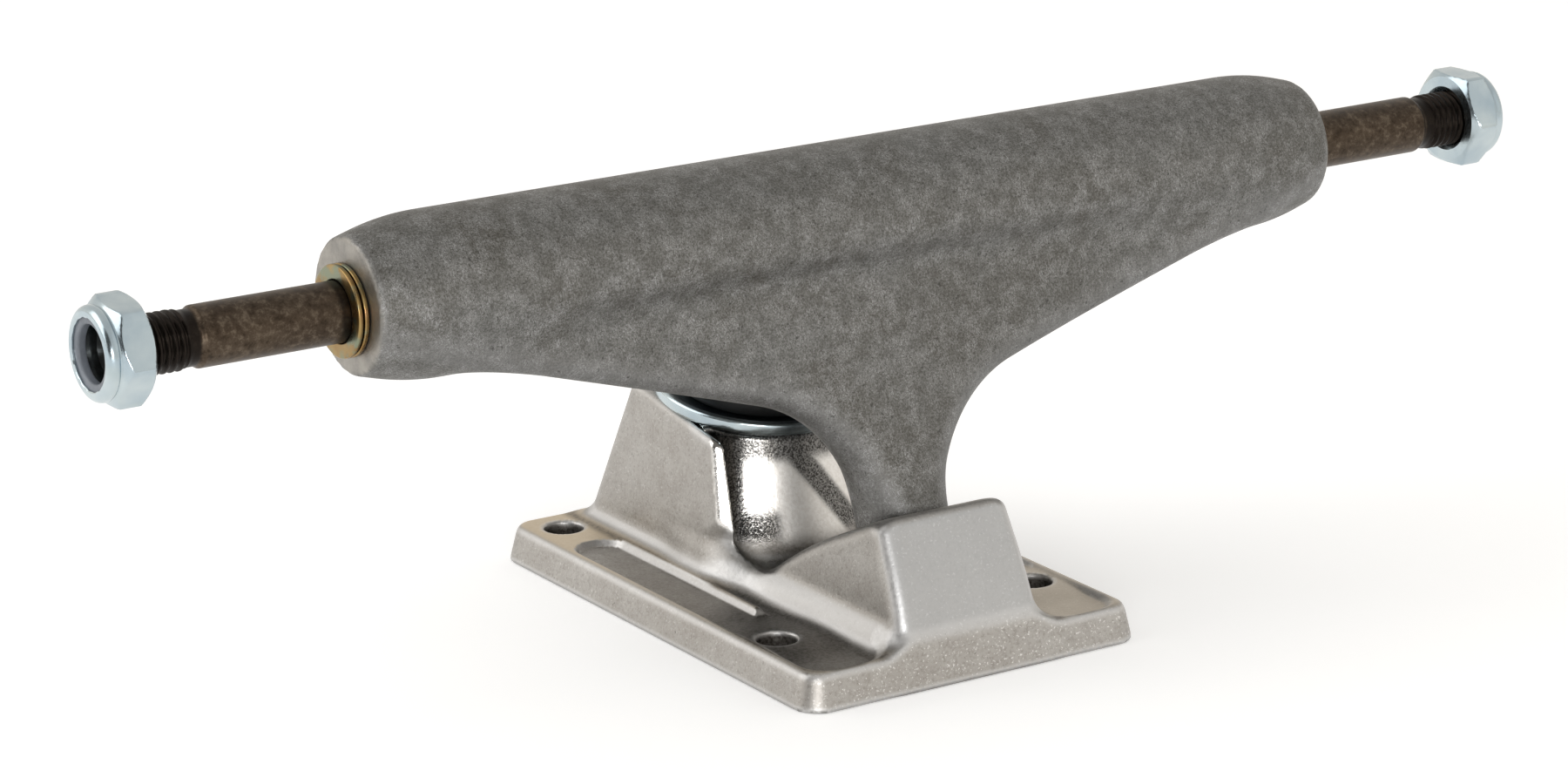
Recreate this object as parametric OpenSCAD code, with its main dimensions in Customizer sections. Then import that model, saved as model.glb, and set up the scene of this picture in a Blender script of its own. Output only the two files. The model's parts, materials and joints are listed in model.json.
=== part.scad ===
// Skateboard truck: baseplate, sprung hanger with axle, bushings and hardware.
// Millimetres. The origin is the centre of the four deck bolts on the mounting face.
// +X runs along the axle, +Z points away from the deck, and the pivot is on the -Y side.

/* [Deck bolts] */
// Hole spacing across the plate
hole_pitch_x = 41.28; // [38:0.01:44]
// Hole spacing along the plate
hole_pitch_y = 53.98; // [50:0.01:66]
// Diameter of a bolt hole
hole_d = 5.5; // [4.8:0.1:6.5]

/* [Baseplate] */
// Width of the plate
plate_w = 54; // [52:0.5:60]
// Reach of the plate past the bolt centre, on the pivot side
plate_front = 44; // [42:0.5:52]
// Reach of the plate past the bolt centre, on the kingpin side
plate_back = 34.5; // [32.5:0.5:40]
// Thickness of the flange
plate_t = 5.2; // [4:0.1:7]
// Radius of the plate's corners
plate_corner = 4.5; // [2:0.1:6]
// Half width of the kingpin housing
housing_half_w = 14.2; // [13:0.1:16]
// Distance of the housing's front face from its kingpin seat, along the plate
housing_front = 12; // [11:0.1:14]
// Slope of the housing's front face from upright, in degrees
front_slope = 10; // [5:1:15]
// Slope of the housing's back face from upright, in degrees
housing_slope = 24; // [15:1:30]
// How far the housing's back face lies inside the lower washer's edge at the seat
back_inset = 3; // [2:0.1:6]
// Wall of the housing on each side of the scoop in front of its boss
ear_wall = 2; // [1.5:0.1:3]
// How far the boss's top lies inside the lower washer's edge
boss_inset = 1.2; // [0.8:0.1:2]
// How much greater the boss's radius is at its foot than at its top
boss_flare = 2.8; // [1:0.1:4]
// Height of the spine that joins the housing to the pivot block
spine_h = 8.5; // [7:0.1:11]
// How much wider than the block the spine is where they meet, on each side
spine_margin = 1; // [0.5:0.1:2]
// Depth of the plain recessed panel on each flange
panel_depth = 0.8; // [0.4:0.1:1.5]
// Width of the recessed panel
panel_w = 5.6; // [4:0.1:7]
// Length of the recessed panel
panel_len = 36; // [20:1:38]
// Gap from the recessed panel to the plate's edge
panel_margin = 2.6; // [2:0.1:4]

/* [Pivot] */
// Distance of the pivot's centre from the bolt centre, along the plate
pivot_y = 29.9; // [27:0.1:32]
// Height of the pivot's centre above the mounting face
pivot_z = 10.7; // [10:0.1:14]
// Lean of the pivot stem and its cup from upright, in degrees
pivot_lean = 26.6; // [20:0.1:32]
// Radius of the round pivot nose
nose_r = 5.5; // [4.5:0.1:6]
// Running gap between the nose and the cup
nose_gap = 0.1; // [0.05:0.01:0.2]
// Wall of the pivot cup
cup_wall = 1.7; // [1.2:0.1:2.2]
// Room that the cup's mouth leaves round the stem
mouth_room = 1.2; // [1:0.1:1.6]
// Distance from the pivot's centre up to the block's sloping top
block_top = 6.5; // [5:0.1:8]
// Half width of the pivot block
block_half_w = 10; // [9.2:0.1:12]
// Distance from the pivot's centre to the block's front face
block_front = 9.6; // [9:0.1:11]
// Distance from the pivot's centre to the block's back face
block_back = 15.6; // [14:0.1:17]

/* [Kingpin] */
// Distance of the kingpin seat's centre from the bolt centre, along the plate
seat_y = 9.28; // [8:0.01:11]
// Height of the kingpin seat's centre above the mounting face
seat_z = 25.64; // [24:0.01:28]
// Lean of the kingpin towards the pivot, in degrees
kingpin_lean = 9; // [5:0.5:12]
// Diameter of the kingpin
kingpin_d = 9.52; // [8:0.01:10]
// Thickness of the metal between the kingpin's head and its seat
head_depth = 13; // [11:0.5:14]
// Height of the kingpin's hex head
head_h = 6; // [4:0.1:7]
// Width across the flats of the kingpin's head and nut
kingpin_af = 14.29; // [13:0.01:15]
// Height of the kingpin nut
kingpin_nut_h = 7.6; // [6:0.1:9]
// Height of the kingpin nut's round collar
kingpin_collar_h = 2; // [1.5:0.1:2.5]
// Wall of the kingpin nut's collar round its nylon ring
kingpin_collar_wall = 1.6; // [1.3:0.1:1.8]
// How far the kingpin's end lies below the top of its nut
tip_recess = 0.4; // [0.2:0.1:1]

/* [Bushings] */
// Diameter of the lower barrel bushing
lower_d = 24.6; // [22:0.1:25]
// Height of the lower bushing
lower_h = 10.1; // [9:0.1:13]
// Diameter of the upper cone bushing where it sits in the hanger
upper_d = 22; // [20:0.1:23]
// Diameter of the upper bushing under its washer
upper_top_d = 16.5; // [15:0.1:19]
// Height of the upper bushing
upper_h = 8.2; // [7:0.1:10]
// Thickness of the cup washers
washer_t = 1.3; // [1:0.1:2]
// Outer diameter of the lower cup washer
lower_washer_d = 28.9; // [27.8:0.1:30]
// Height of the lower cup washer's rim
lower_rim_h = 2.1; // [1.8:0.1:3]
// Outer diameter of the upper cup washer
upper_washer_d = 20.6; // [20.2:0.1:21.4]
// Height of the upper cup washer's rim
upper_rim_h = 2.6; // [1.8:0.1:3]

/* [Hanger] */
// Width of the hanger between its axle faces
hanger_w = 150; // [130:0.5:160]
// Radius of the axle barrel
barrel_r = 11.1; // [10:0.1:12]
// Radius of the barrel's flat end faces
barrel_end_r = 8.7; // [7:0.1:9.5]
// Length of the taper at each end of the barrel
barrel_taper = 6; // [3:0.1:8]
// Half width over which the wings run below the barrel
wing_half_w = 62; // [50:0.5:63]
// Slope of the wings' lower edges, in degrees
wing_slope = 17; // [14:0.5:20]
// Thickness of the wings
wing_t = 6; // [4:0.1:8]
// How far the wings' front lies behind the front of the barrel
wing_inset = 0.6; // [0.3:0.1:2]
// Height at which the wings' lower edges would meet on the centre line
wing_root_z = 28.4; // [27:0.1:31]
// Radius of the sweep from the wings into the pivot stem
sweep_r = 20; // [16:0.5:24]
// Half width of the stem's root at the foot of that sweep
stem_half_w = 7; // [6:0.1:9]
// Thickness of the ring between the two bushings
ring_t = 3.5; // [3:0.1:5]
// Depth of the ring's seats for the bushings
ring_seat = 2; // [1.2:0.1:2.5]
// Wall of the ring round the lower bushing
ring_wall = 3.4; // [2.6:0.1:5]
// Diameter of the kingpin's hole in the ring
ring_hole_d = 14; // [13:0.1:16]
// Half width over which the ring's arms meet the barrel
arm_half_w = 46; // [30:0.5:56]

/* [Axle] */
// Diameter of the axle
axle_d = 7.94; // [7.8:0.01:8]
// Overall length of the axle
axle_len = 215.9; // [200:0.1:230]
// Height of the axle above the mounting face
axle_z = 54.8; // [52:0.1:58]
// Distance of the axle from the bolt centre, towards the pivot
axle_y = 12.75; // [11.5:0.05:13.5]
// Length of the thread at each end
thread_len = 10.9; // [10:0.1:16]
// Depth of the neck where the thread starts
neck_depth = 0.25; // [0.2:0.05:0.6]

/* [Axle hardware] */
// Outer diameter of a speed ring
speed_ring_d = 12; // [11:0.1:13]
// Thickness of a speed ring
speed_ring_t = 0.8; // [0.6:0.05:1.2]
// Width across the flats of an axle nut
axle_nut_af = 12.7; // [12:0.1:14]
// Height of the hex part of an axle nut
axle_nut_hex_h = 4.7; // [4:0.1:7]
// Height of the axle nut's round collar
axle_nut_collar_h = 1.65; // [1.5:0.05:3]
// Wall of the axle nut's collar round its nylon ring
axle_collar_wall = 1.5; // [1.2:0.1:1.7]
// Room from the axle's left end to the nylon ring of its nut
left_nut_room = 1.05; // [0.1:0.05:2]
// Room from the axle's right end to the nylon ring of its nut
right_nut_room = 0.15; // [0.1:0.05:2]

/* [Clearances] */
// Running gap round the axle and the kingpin
run_gap = 0.07; // [0.03:0.01:0.1]
// Gap between pieces that are seated or pressed together
seat_gap = 0.05; // [0.02:0.01:0.1]
// Gap between a bushing and the seats that press on it
soft_gap = 0.2; // [0.1:0.05:0.4]
// Room that the hanger's pocket leaves round the upper bushing and the nut as it steers
steer_room = 4.6; // [4.2:0.1:6]

/* [Hidden] */
$fn = 96;

// Overshoot of a cut past the face that it opens
over = 1;
// A cut or core this long passes through the whole part
through = 200;
cast_grey = [0.45, 0.45, 0.44];
plate_silver = [0.66, 0.65, 0.62];
zinc = [0.76, 0.8, 0.83];
nylon_grey = [0.55, 0.57, 0.58];
urethane_black = [0.03, 0.03, 0.03];
oxide_brown = [0.3, 0.26, 0.23];
gold_zinc = [0.72, 0.55, 0.24];

// Half of the straight stretch at each end of a flange panel
panel_flat = 0.3;
// Lap between the mirrored halves of an outline
centre_lap = 0.01;
// Angle between the points of the wings' sweep, in degrees
sweep_step = 6;

// Chamfers and insets of the lock nuts, and the seat of their nylon rings
nut_chamfer = 0.9;
nut_face_inset = 0.2;
nut_collar_inset = 0.5;
insert_lip = 0.4;
insert_bite = 0.3;

// How far the stem's root stands in front of the barrel, at depths below the axle
root_bow = [[0, -0.1], [8, 0.4], [18, 2], [26, 4.2]];
// Where the back of the stem's root leaves the wings: behind the axle, and above their root
root_back = 4.6;
root_back_rise = 6;
// Lengths of the stem above the block: down to which its root runs, and up into that root
stem_neck = 3;
stem_top = 8;
// Height above the wings' root from which they have their full thickness
wing_trim = 3;

// Heights along the kingpin, measured up from its seat on the baseplate
lower_bush_s = washer_t + seat_gap;
ring_low_s = lower_bush_s + lower_h + soft_gap;
ring_high_s = ring_low_s + ring_t;
upper_bush_s = ring_high_s + soft_gap;
upper_washer_s = upper_bush_s + upper_h + seat_gap;
kingpin_nut_s = upper_washer_s + washer_t + seat_gap;
kingpin_tip_s = kingpin_nut_s + kingpin_nut_h - tip_recess;
ring_mid_s = (ring_low_s + ring_high_s) / 2;
kingpin_insert_r = kingpin_af / 2 - kingpin_collar_wall;

// The ring and the bushing seats in the hanger
lower_seat_r = lower_d / 2 + soft_gap;
upper_seat_r = upper_d / 2 + soft_gap;
ring_r = lower_seat_r + ring_wall;
ring_bottom_s = ring_low_s - ring_seat;
ring_top_s = ring_high_s + ring_seat;

// The axle's ends and its hardware
axle_r = axle_d / 2;
thread_start = axle_len / 2 - thread_len;
axle_insert_r = axle_nut_af / 2 - axle_collar_wall;
speed_ring_x = hanger_w / 2 + seat_gap;
speed_ring_step = speed_ring_t + seat_gap;

// The pivot cup
cup_in_r = nose_r + nose_gap;
cup_r = cup_in_r + cup_wall;
cup_mouth_r = cup_in_r + mouth_room;
cup_lip = 0.8;

// Places a shape that is drawn on the kingpin, with z = 0 at its seat
module on_kingpin() {
    translate([0, seat_y, seat_z]) rotate([kingpin_lean, 0, 0]) children();
}

// Places a shape that is drawn on the pivot stem, with its centre at the pivot
module on_pivot() {
    translate([0, -pivot_y, pivot_z]) rotate([-pivot_lean, 0, 0]) children();
}

// Distance of a nut's inner face from the middle of the axle; side is 1 for right and -1 for left
function axle_nut_x(side) =
    axle_len / 2 + (side < 0 ? left_nut_room : right_nut_room) - axle_nut_hex_h;

// Places a shape that is drawn along +Z on the axle, towards that side
module on_axle(side = 1) {
    translate([0, -axle_y, axle_z]) rotate([0, 90 * side, 0]) children();
}

// Stands an outline of X and Z upright, from y0 to y1
module upright(y0, y1) {
    translate([0, y1, 0]) rotate([90, 0, 0]) linear_extrude(y1 - y0) children();
}

// Extrudes an outline of Y and Z across the part
module across(half_w) {
    translate([-half_w, 0, 0]) rotate([90, 0, 90]) linear_extrude(2 * half_w) children();
}

// Rectangle with round corners, from its low corner to its high corner
module round_rect(low, high, r) {
    translate([low[0] + r, low[1]]) square([high[0] - low[0] - 2 * r, high[1] - low[1]]);
    translate([low[0], low[1] + r]) square([high[0] - low[0], high[1] - low[1] - 2 * r]);
    for (x = [low[0] + r, high[0] - r], y = [low[1] + r, high[1] - r])
        translate([x, y]) circle(r);
}

// Turned shape with a bore, from an outline of radius and height
module washer_disc(outer_r, inner_r, h) {
    difference() {
        cylinder(r = outer_r, h = h);
        translate([0, 0, -over]) cylinder(r = inner_r, h = h + 2 * over);
    }
}

// Hex bar, by its width across flats
module hex_bar(af, h) {
    cylinder(d = af / cos(30), h = h, $fn = 6);
}

// Side outline of the kingpin housing, below the seat
module housing_side() {
    top_z = seat_z + plate_back * tan(kingpin_lean);
    front_y = seat_y - housing_front;
    foot_y = seat_y + lower_washer_d / 2 - back_inset + seat_z * tan(housing_slope);
    polygon([
        [front_y - seat_z * tan(front_slope), 0],
        [foot_y, 0],
        [foot_y - top_z * tan(housing_slope), top_z],
        [front_y, top_z],
        [front_y, seat_z],
    ]);
}

// Housing that carries the kingpin, cut to its leaning seat and scooped out in front of the boss
module kingpin_housing() {
    scoop_half_w = housing_half_w - ear_wall;
    difference() {
        across(housing_half_w) housing_side();
        on_kingpin() translate([-through / 2, -through / 2, 0]) cube(through);
        translate([-scoop_half_w, -plate_front, spine_h])
            cube([2 * scoop_half_w, plate_front + seat_y, through]);
    }
}

// Conical boss that carries the lower cup washer
module kingpin_boss() {
    boss_h = seat_z - plate_t;
    boss_r = lower_washer_d / 2 - boss_inset;
    intersection() {
        on_kingpin() translate([0, 0, -boss_h])
            cylinder(r1 = boss_r + boss_flare, r2 = boss_r, h = boss_h);
        translate([-housing_half_w, -plate_front, 0])
            cube([2 * housing_half_w, plate_front + plate_back, through]);
    }
}

// Square boss round the pivot cup, leaning with the pivot
module pivot_block() {
    intersection() {
        on_pivot() translate([-block_half_w, -block_front, block_top - through])
            cube([2 * block_half_w, block_front + block_back, through]);
        translate([-plate_w / 2, -plate_front, 0])
            cube([plate_w, plate_front + plate_back, through]);
    }
}

// Low spine between the pivot block and the housing, narrower at the pivot
module spine() {
    front_y = -pivot_y - block_front / cos(pivot_lean) + spine_margin;
    front_half_w = block_half_w + spine_margin;
    linear_extrude(spine_h) polygon([
        [-front_half_w, front_y],
        [front_half_w, front_y],
        [housing_half_w, seat_y - housing_front],
        [-housing_half_w, seat_y - housing_front],
    ]);
}

// Plain recess where a flange carries its casting panel
module flange_panel(side) {
    low_x = plate_w / 2 - panel_margin - panel_w;
    translate([0, 0, plate_t - panel_depth]) linear_extrude(panel_depth + over)
        scale([side, 1])
            round_rect([low_x, -panel_len / 2], [low_x + panel_w, panel_len / 2], panel_w / 2 - panel_flat);
}

module deck_holes() {
    for (x = [-1, 1], y = [-1, 1])
        translate([x * hole_pitch_x / 2, y * hole_pitch_y / 2, -over])
            cylinder(d = hole_d, h = plate_t + 2 * over);
}

module baseplate() {
    head_r = kingpin_af / 2 + seat_gap;
    color(plate_silver) difference() {
        union() {
            linear_extrude(plate_t)
                round_rect([-plate_w / 2, -plate_front], [plate_w / 2, plate_back], plate_corner);
            kingpin_housing();
            kingpin_boss();
            pivot_block();
            spine();
        }
        deck_holes();
        for (side = [-1, 1]) flange_panel(side);
        on_kingpin() translate([0, 0, -through / 2])
            cylinder(r = kingpin_d / 2 + seat_gap, h = through);
        on_kingpin() translate([0, 0, -head_depth - through])
            hex_bar(2 * head_r, through);
        on_pivot() {
            sphere(cup_r + seat_gap);
            cylinder(r = cup_r + seat_gap, h = through);
        }
    }
}

module pivot_cup() {
    color(urethane_black) on_pivot() difference() {
        union() {
            sphere(cup_r);
            cylinder(r = cup_r, h = block_top + cup_lip);
        }
        sphere(cup_in_r);
        cylinder(r1 = cup_in_r, r2 = cup_mouth_r, h = block_top + cup_lip);
        translate([0, 0, block_top + cup_lip]) cylinder(r = cup_r + over, h = through);
    }
}

module kingpin() {
    color(zinc) on_kingpin() {
        translate([0, 0, -head_depth - head_h - seat_gap])
            hex_bar(kingpin_af, head_h);
        translate([0, 0, -head_depth - head_h])
            cylinder(d = kingpin_d, h = head_depth + head_h + kingpin_tip_s);
    }
}

// Cup washer with its rim up: a flat base and a turned-up edge
module cup_washer(outer_d, rim_h) {
    difference() {
        cylinder(d = outer_d, h = rim_h);
        translate([0, 0, washer_t]) cylinder(d = outer_d - 2 * washer_t, h = rim_h);
        translate([0, 0, -over]) cylinder(r = kingpin_d / 2 + run_gap, h = washer_t + 2 * over);
    }
}

module lower_cup_washer() {
    color(zinc) on_kingpin() cup_washer(lower_washer_d, lower_rim_h);
}

module upper_cup_washer() {
    color(zinc) on_kingpin() translate([0, 0, upper_washer_s + washer_t])
        mirror([0, 0, 1]) cup_washer(upper_washer_d, upper_rim_h);
}

// Barrel bushing with a waisted edge at each end
module lower_bushing() {
    r = lower_d / 2;
    edge = 1;
    bore = kingpin_d / 2 + run_gap;
    color(urethane_black) on_kingpin() translate([0, 0, lower_bush_s])
        rotate_extrude() polygon([
            [bore, 0], [r - edge, 0], [r, edge], [r, lower_h - edge],
            [r - edge, lower_h], [bore, lower_h],
        ]);
}

// Cone bushing, wide end down
module upper_bushing() {
    r = upper_d / 2;
    top_r = upper_top_d / 2;
    edge = 0.8;
    bore = kingpin_d / 2 + run_gap;
    color(urethane_black) on_kingpin() translate([0, 0, upper_bush_s])
        rotate_extrude() polygon([
            [bore, 0], [r - edge, 0], [r, edge], [r, ring_seat + edge],
            [top_r, upper_h - edge], [top_r - edge, upper_h], [bore, upper_h],
        ]);
}

// Lock nut with a round collar that holds its nylon ring
module lock_nut(af, bore_r, hex_h, collar_h, insert_r) {
    flat_r = af / 2;
    corner_r = flat_r / cos(30);
    face_r = flat_r - nut_face_inset;
    collar_r = flat_r - nut_collar_inset;
    difference() {
        intersection() {
            union() {
                hex_bar(af, hex_h);
                translate([0, 0, hex_h - over]) cylinder(r = collar_r, h = collar_h + over);
            }
            rotate_extrude() polygon([
                [0, 0], [face_r, 0], [corner_r, nut_chamfer], [corner_r, hex_h - nut_chamfer],
                [face_r, hex_h], [collar_r, hex_h + collar_h / 2],
                [collar_r - nut_chamfer, hex_h + collar_h], [0, hex_h + collar_h],
            ]);
        }
        translate([0, 0, -over]) cylinder(r = bore_r, h = hex_h + collar_h + 2 * over);
        translate([0, 0, hex_h]) cylinder(r = insert_r + seat_gap, h = collar_h + over);
    }
}

module kingpin_nut() {
    color(zinc) on_kingpin() translate([0, 0, kingpin_nut_s]) rotate(30)
        lock_nut(kingpin_af, kingpin_d / 2 + run_gap, kingpin_nut_h - kingpin_collar_h,
                 kingpin_collar_h, kingpin_insert_r);
}

module kingpin_nut_insert() {
    color(nylon_grey) on_kingpin()
        translate([0, 0, kingpin_nut_s + kingpin_nut_h - kingpin_collar_h + seat_gap])
            washer_disc(kingpin_insert_r, kingpin_d / 2 + run_gap, kingpin_collar_h - insert_lip);
}

// Axle barrel with a taper to each flat face
module barrel() {
    half = hanger_w / 2;
    on_axle() rotate_extrude() polygon([
        [0, -half], [barrel_end_r, -half], [barrel_r, barrel_taper - half],
        [barrel_r, half - barrel_taper], [barrel_end_r, half], [0, half],
    ]);
}

// Front outline of the wings and the sweep down to the stem, right half mirrored to the left
module wing_outline() {
    centre_x = stem_half_w + sweep_r;
    centre_z = wing_root_z + centre_x * tan(wing_slope) - sweep_r / cos(wing_slope);
    sweep = [for (a = [90 + wing_slope : sweep_step : 180])
        [centre_x + sweep_r * cos(a), centre_z + sweep_r * sin(a)]];
    tip_z = wing_root_z + wing_half_w * tan(wing_slope);
    for (side = [-1, 1]) scale([side, 1]) polygon(concat(
        [[-centre_lap, axle_z], [wing_half_w, axle_z], [wing_half_w, tip_z]],
        sweep,
        [[stem_half_w, centre_z], [stem_half_w, pivot_z], [-centre_lap, pivot_z]]
    ));
}

// Side outline of the pivot stem's root, swept forward from the barrel to the stem
module stem_side() {
    front_y = -axle_y - barrel_r;
    reach = block_top + stem_neck;
    stem_front = [-pivot_y + reach * sin(pivot_lean) - nose_r * cos(pivot_lean),
                  pivot_z + reach * cos(pivot_lean) + nose_r * sin(pivot_lean)];
    stem_back = [stem_front[0] + 2 * nose_r * cos(pivot_lean),
                 stem_front[1] - 2 * nose_r * sin(pivot_lean)];
    polygon(concat(
        [for (bow = root_bow) [front_y - bow[1], axle_z - bow[0]]],
        [stem_front, stem_back, [-axle_y - root_back, wing_root_z + root_back_rise], [-axle_y, axle_z]]
    ));
}

// Pivot stem with its round nose, on the pivot's lean
module stem() {
    on_pivot() {
        sphere(nose_r);
        cylinder(r = nose_r, h = block_top + stem_top);
    }
}

// Ring that carries the bushings, square to the kingpin
module ring() {
    on_kingpin() translate([0, 0, ring_bottom_s]) cylinder(r = ring_r, h = ring_top_s - ring_bottom_s);
}

// Arms from the ring to the barrel, cut to the wings' outline
module ring_arms() {
    ring_y = seat_y - ring_mid_s * sin(kingpin_lean);
    ring_z = seat_z + ring_mid_s * cos(kingpin_lean);
    half_h = (ring_top_s - ring_bottom_s) / 2;
    root_y = -axle_y - barrel_r / 2;
    intersection() {
        linear_extrude(through) polygon([
            [-ring_r, ring_y], [ring_r, ring_y], [arm_half_w, -axle_y], [arm_half_w, root_y],
            [-arm_half_w, root_y], [-arm_half_w, -axle_y],
        ]);
        across(arm_half_w) polygon([
            [root_y, wing_root_z], [ring_y, ring_z - half_h], [ring_y, ring_z + half_h],
            [-axle_y + barrel_r / 2, axle_z], [root_y, axle_z],
        ]);
        upright(-plate_front, plate_back) wing_outline();
    }
}

// Pocket for the upper bushing, washer and nut, wide enough for the steering travel
module nut_pocket() {
    pocket_r = max(upper_seat_r, upper_washer_d / 2) + soft_gap;
    translate([0, 0, ring_top_s]) {
        for (x = [-steer_room, steer_room]) translate([x, 0, 0]) cylinder(r = pocket_r, h = through);
        translate([-steer_room, -pocket_r, 0]) cube([2 * steer_room, 2 * pocket_r, through]);
    }
}

module hanger() {
    wing_front = -axle_y - barrel_r + wing_inset;
    color(cast_grey) difference() {
        union() {
            barrel();
            upright(wing_front, wing_front + wing_t) intersection() {
                wing_outline();
                translate([-wing_half_w, wing_root_z + wing_trim]) square([2 * wing_half_w, axle_z]);
            }
            intersection() {
                upright(-plate_front, plate_back) wing_outline();
                across(sweep_r + nose_r) stem_side();
            }
            stem();
            ring();
            ring_arms();
        }
        on_axle() translate([0, 0, -through]) cylinder(r = axle_r + seat_gap, h = 2 * through);
        on_kingpin() {
            cylinder(d = ring_hole_d, h = through);
            translate([0, 0, ring_low_s - through]) cylinder(r = lower_seat_r, h = through);
            translate([0, 0, ring_high_s]) cylinder(r = upper_seat_r, h = through);
            nut_pocket();
        }
    }
}

module axle() {
    neck = 1.6;
    tip = 0.9;
    half = axle_len / 2;
    color(oxide_brown) on_axle() rotate_extrude() polygon([
        [0, -half], [axle_r - tip, -half], [axle_r, tip - half], [axle_r, -thread_start - neck],
        [axle_r - neck_depth, -thread_start - neck], [axle_r - neck_depth, -thread_start],
        [axle_r, -thread_start], [axle_r, thread_start], [axle_r - neck_depth, thread_start],
        [axle_r - neck_depth, thread_start + neck], [axle_r, thread_start + neck],
        [axle_r, half - tip], [axle_r - tip, half], [0, half],
    ]);
}

// Speed ring on one side of the hanger; place is 0 against the hanger and 1 outside it
module speed_ring(side, place) {
    color(gold_zinc) on_axle(side) translate([0, 0, speed_ring_x + place * speed_ring_step])
        washer_disc(speed_ring_d / 2, axle_r + run_gap, speed_ring_t);
}

module axle_nut(side) {
    color(zinc) on_axle(side) translate([0, 0, axle_nut_x(side)])
        lock_nut(axle_nut_af, axle_r + run_gap, axle_nut_hex_h, axle_nut_collar_h, axle_insert_r);
}

module axle_nut_insert(side) {
    color(nylon_grey) on_axle(side) translate([0, 0, axle_nut_x(side) + axle_nut_hex_h + seat_gap])
        washer_disc(axle_insert_r, axle_r - insert_bite, axle_nut_collar_h - insert_lip);
}

baseplate();
pivot_cup();
kingpin();
lower_cup_washer();
lower_bushing();
upper_bushing();
upper_cup_washer();
kingpin_nut();
kingpin_nut_insert();
hanger();
axle();
speed_ring(-1, 0);  // left_inner_speed_ring
speed_ring(-1, 1);  // left_outer_speed_ring
speed_ring(1, 0);  // right_inner_speed_ring
speed_ring(1, 1);  // right_outer_speed_ring
axle_nut(-1);  // left_axle_nut
axle_nut_insert(-1);  // left_axle_nut_insert
axle_nut(1);  // right_axle_nut
axle_nut_insert(1);  // right_axle_nut_insert
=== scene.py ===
"""Skateboard truck: cast hanger and baseplate with bushings, axle and hardware.

The two castings are signed distance fields that are meshed here, and every turned piece is a
loft of rings on its own axis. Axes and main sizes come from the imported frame. The smaller
sizes are named here, in millimetres unless they say otherwise.
"""
import json
import math

import bpy
import numpy as np
from mathutils import Matrix, Vector


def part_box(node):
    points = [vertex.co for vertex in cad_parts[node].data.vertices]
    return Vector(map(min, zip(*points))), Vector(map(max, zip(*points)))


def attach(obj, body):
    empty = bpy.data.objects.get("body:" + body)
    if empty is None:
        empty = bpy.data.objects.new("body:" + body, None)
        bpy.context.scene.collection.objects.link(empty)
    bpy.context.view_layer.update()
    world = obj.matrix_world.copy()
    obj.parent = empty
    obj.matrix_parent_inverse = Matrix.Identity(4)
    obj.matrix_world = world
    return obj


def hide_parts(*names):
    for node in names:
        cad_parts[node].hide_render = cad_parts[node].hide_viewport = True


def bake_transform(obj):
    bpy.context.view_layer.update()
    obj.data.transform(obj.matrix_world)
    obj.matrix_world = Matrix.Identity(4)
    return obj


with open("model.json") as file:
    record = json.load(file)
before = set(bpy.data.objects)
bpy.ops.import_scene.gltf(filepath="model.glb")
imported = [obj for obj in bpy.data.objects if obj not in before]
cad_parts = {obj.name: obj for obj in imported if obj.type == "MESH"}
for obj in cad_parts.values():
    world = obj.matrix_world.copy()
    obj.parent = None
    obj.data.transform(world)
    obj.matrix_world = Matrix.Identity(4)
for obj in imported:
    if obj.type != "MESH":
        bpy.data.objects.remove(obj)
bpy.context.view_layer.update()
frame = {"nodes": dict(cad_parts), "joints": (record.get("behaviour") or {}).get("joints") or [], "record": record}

# Units and drawing density
MM = 0.001
SEGMENTS = 96
TURN = 2 * np.pi * np.arange(SEGMENTS) / SEGMENTS
ROUND = np.ones(SEGMENTS)
HANGER_STEP = 0.55
PLATE_STEP = 0.42

JOINTS = {joint["name"]: joint for joint in frame["joints"]}


# Axes and sizes from the frame

def node_points(node):
    """The points of a CAD node's mesh, in millimetres."""
    mesh = frame["nodes"][node].data
    flat = np.empty(3 * len(mesh.vertices), np.float32)
    mesh.vertices.foreach_get("co", flat)
    return flat.reshape(-1, 3).astype(float) / MM


class Line:
    """A straight axis in the frame, in millimetres, that pieces are drawn and measured on."""

    def __init__(self, origin, along, side):
        self.origin = np.array(origin, float)
        self.along = np.array(along, float) / np.linalg.norm(along)
        self.basis = np.array([side, np.cross(self.along, side), self.along])

    def local(self, points):
        """Points of the frame as two offsets from the axis and a height along it."""
        return (points - self.origin) @ self.basis.T

    def world(self, points):
        """The way back from local to the frame."""
        return points @ self.basis + self.origin

    def span(self, node):
        """Lowest and highest point, and least and greatest radius, of a CAD node on this axis."""
        local = self.local(node_points(node))
        radius = np.hypot(local[:, 0], local[:, 1])
        return local[:, 2].min(), local[:, 2].max(), radius.min(), radius.max()


def joint_point(name):
    """A joint's place, in millimetres."""
    return np.array(JOINTS[name]["pos_m"]) / MM


X_AXIS = (1, 0, 0)
Y_AXIS = (0, 1, 0)
AXLE_CENTRE = joint_point("left_axle_nut_turn")
AXLE = {
    "left": Line(AXLE_CENTRE, (-1, 0, 0), Y_AXIS),
    "right": Line(AXLE_CENTRE, X_AXIS, Y_AXIS),
}
KINGPIN = Line(joint_point("kingpin_nut_turn"), JOINTS["kingpin_nut_turn"]["axis"], X_AXIS)
PIVOT_LEAN = math.radians(26.6)
PIVOT = Line(joint_point("steer"), (0, math.sin(PIVOT_LEAN), math.cos(PIVOT_LEAN)), X_AXIS)


# Fields

def smooth_min(a, b, width):
    """Union of two fields, with a fillet about as wide as width."""
    near = np.maximum(width - np.abs(a - b), 0) / width
    return np.minimum(a, b) - near * near * width / 4


def smooth_max(a, b, width):
    """Overlap of two fields, with a rounded edge about as wide as width."""
    return -smooth_min(-a, -b, width)


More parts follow.
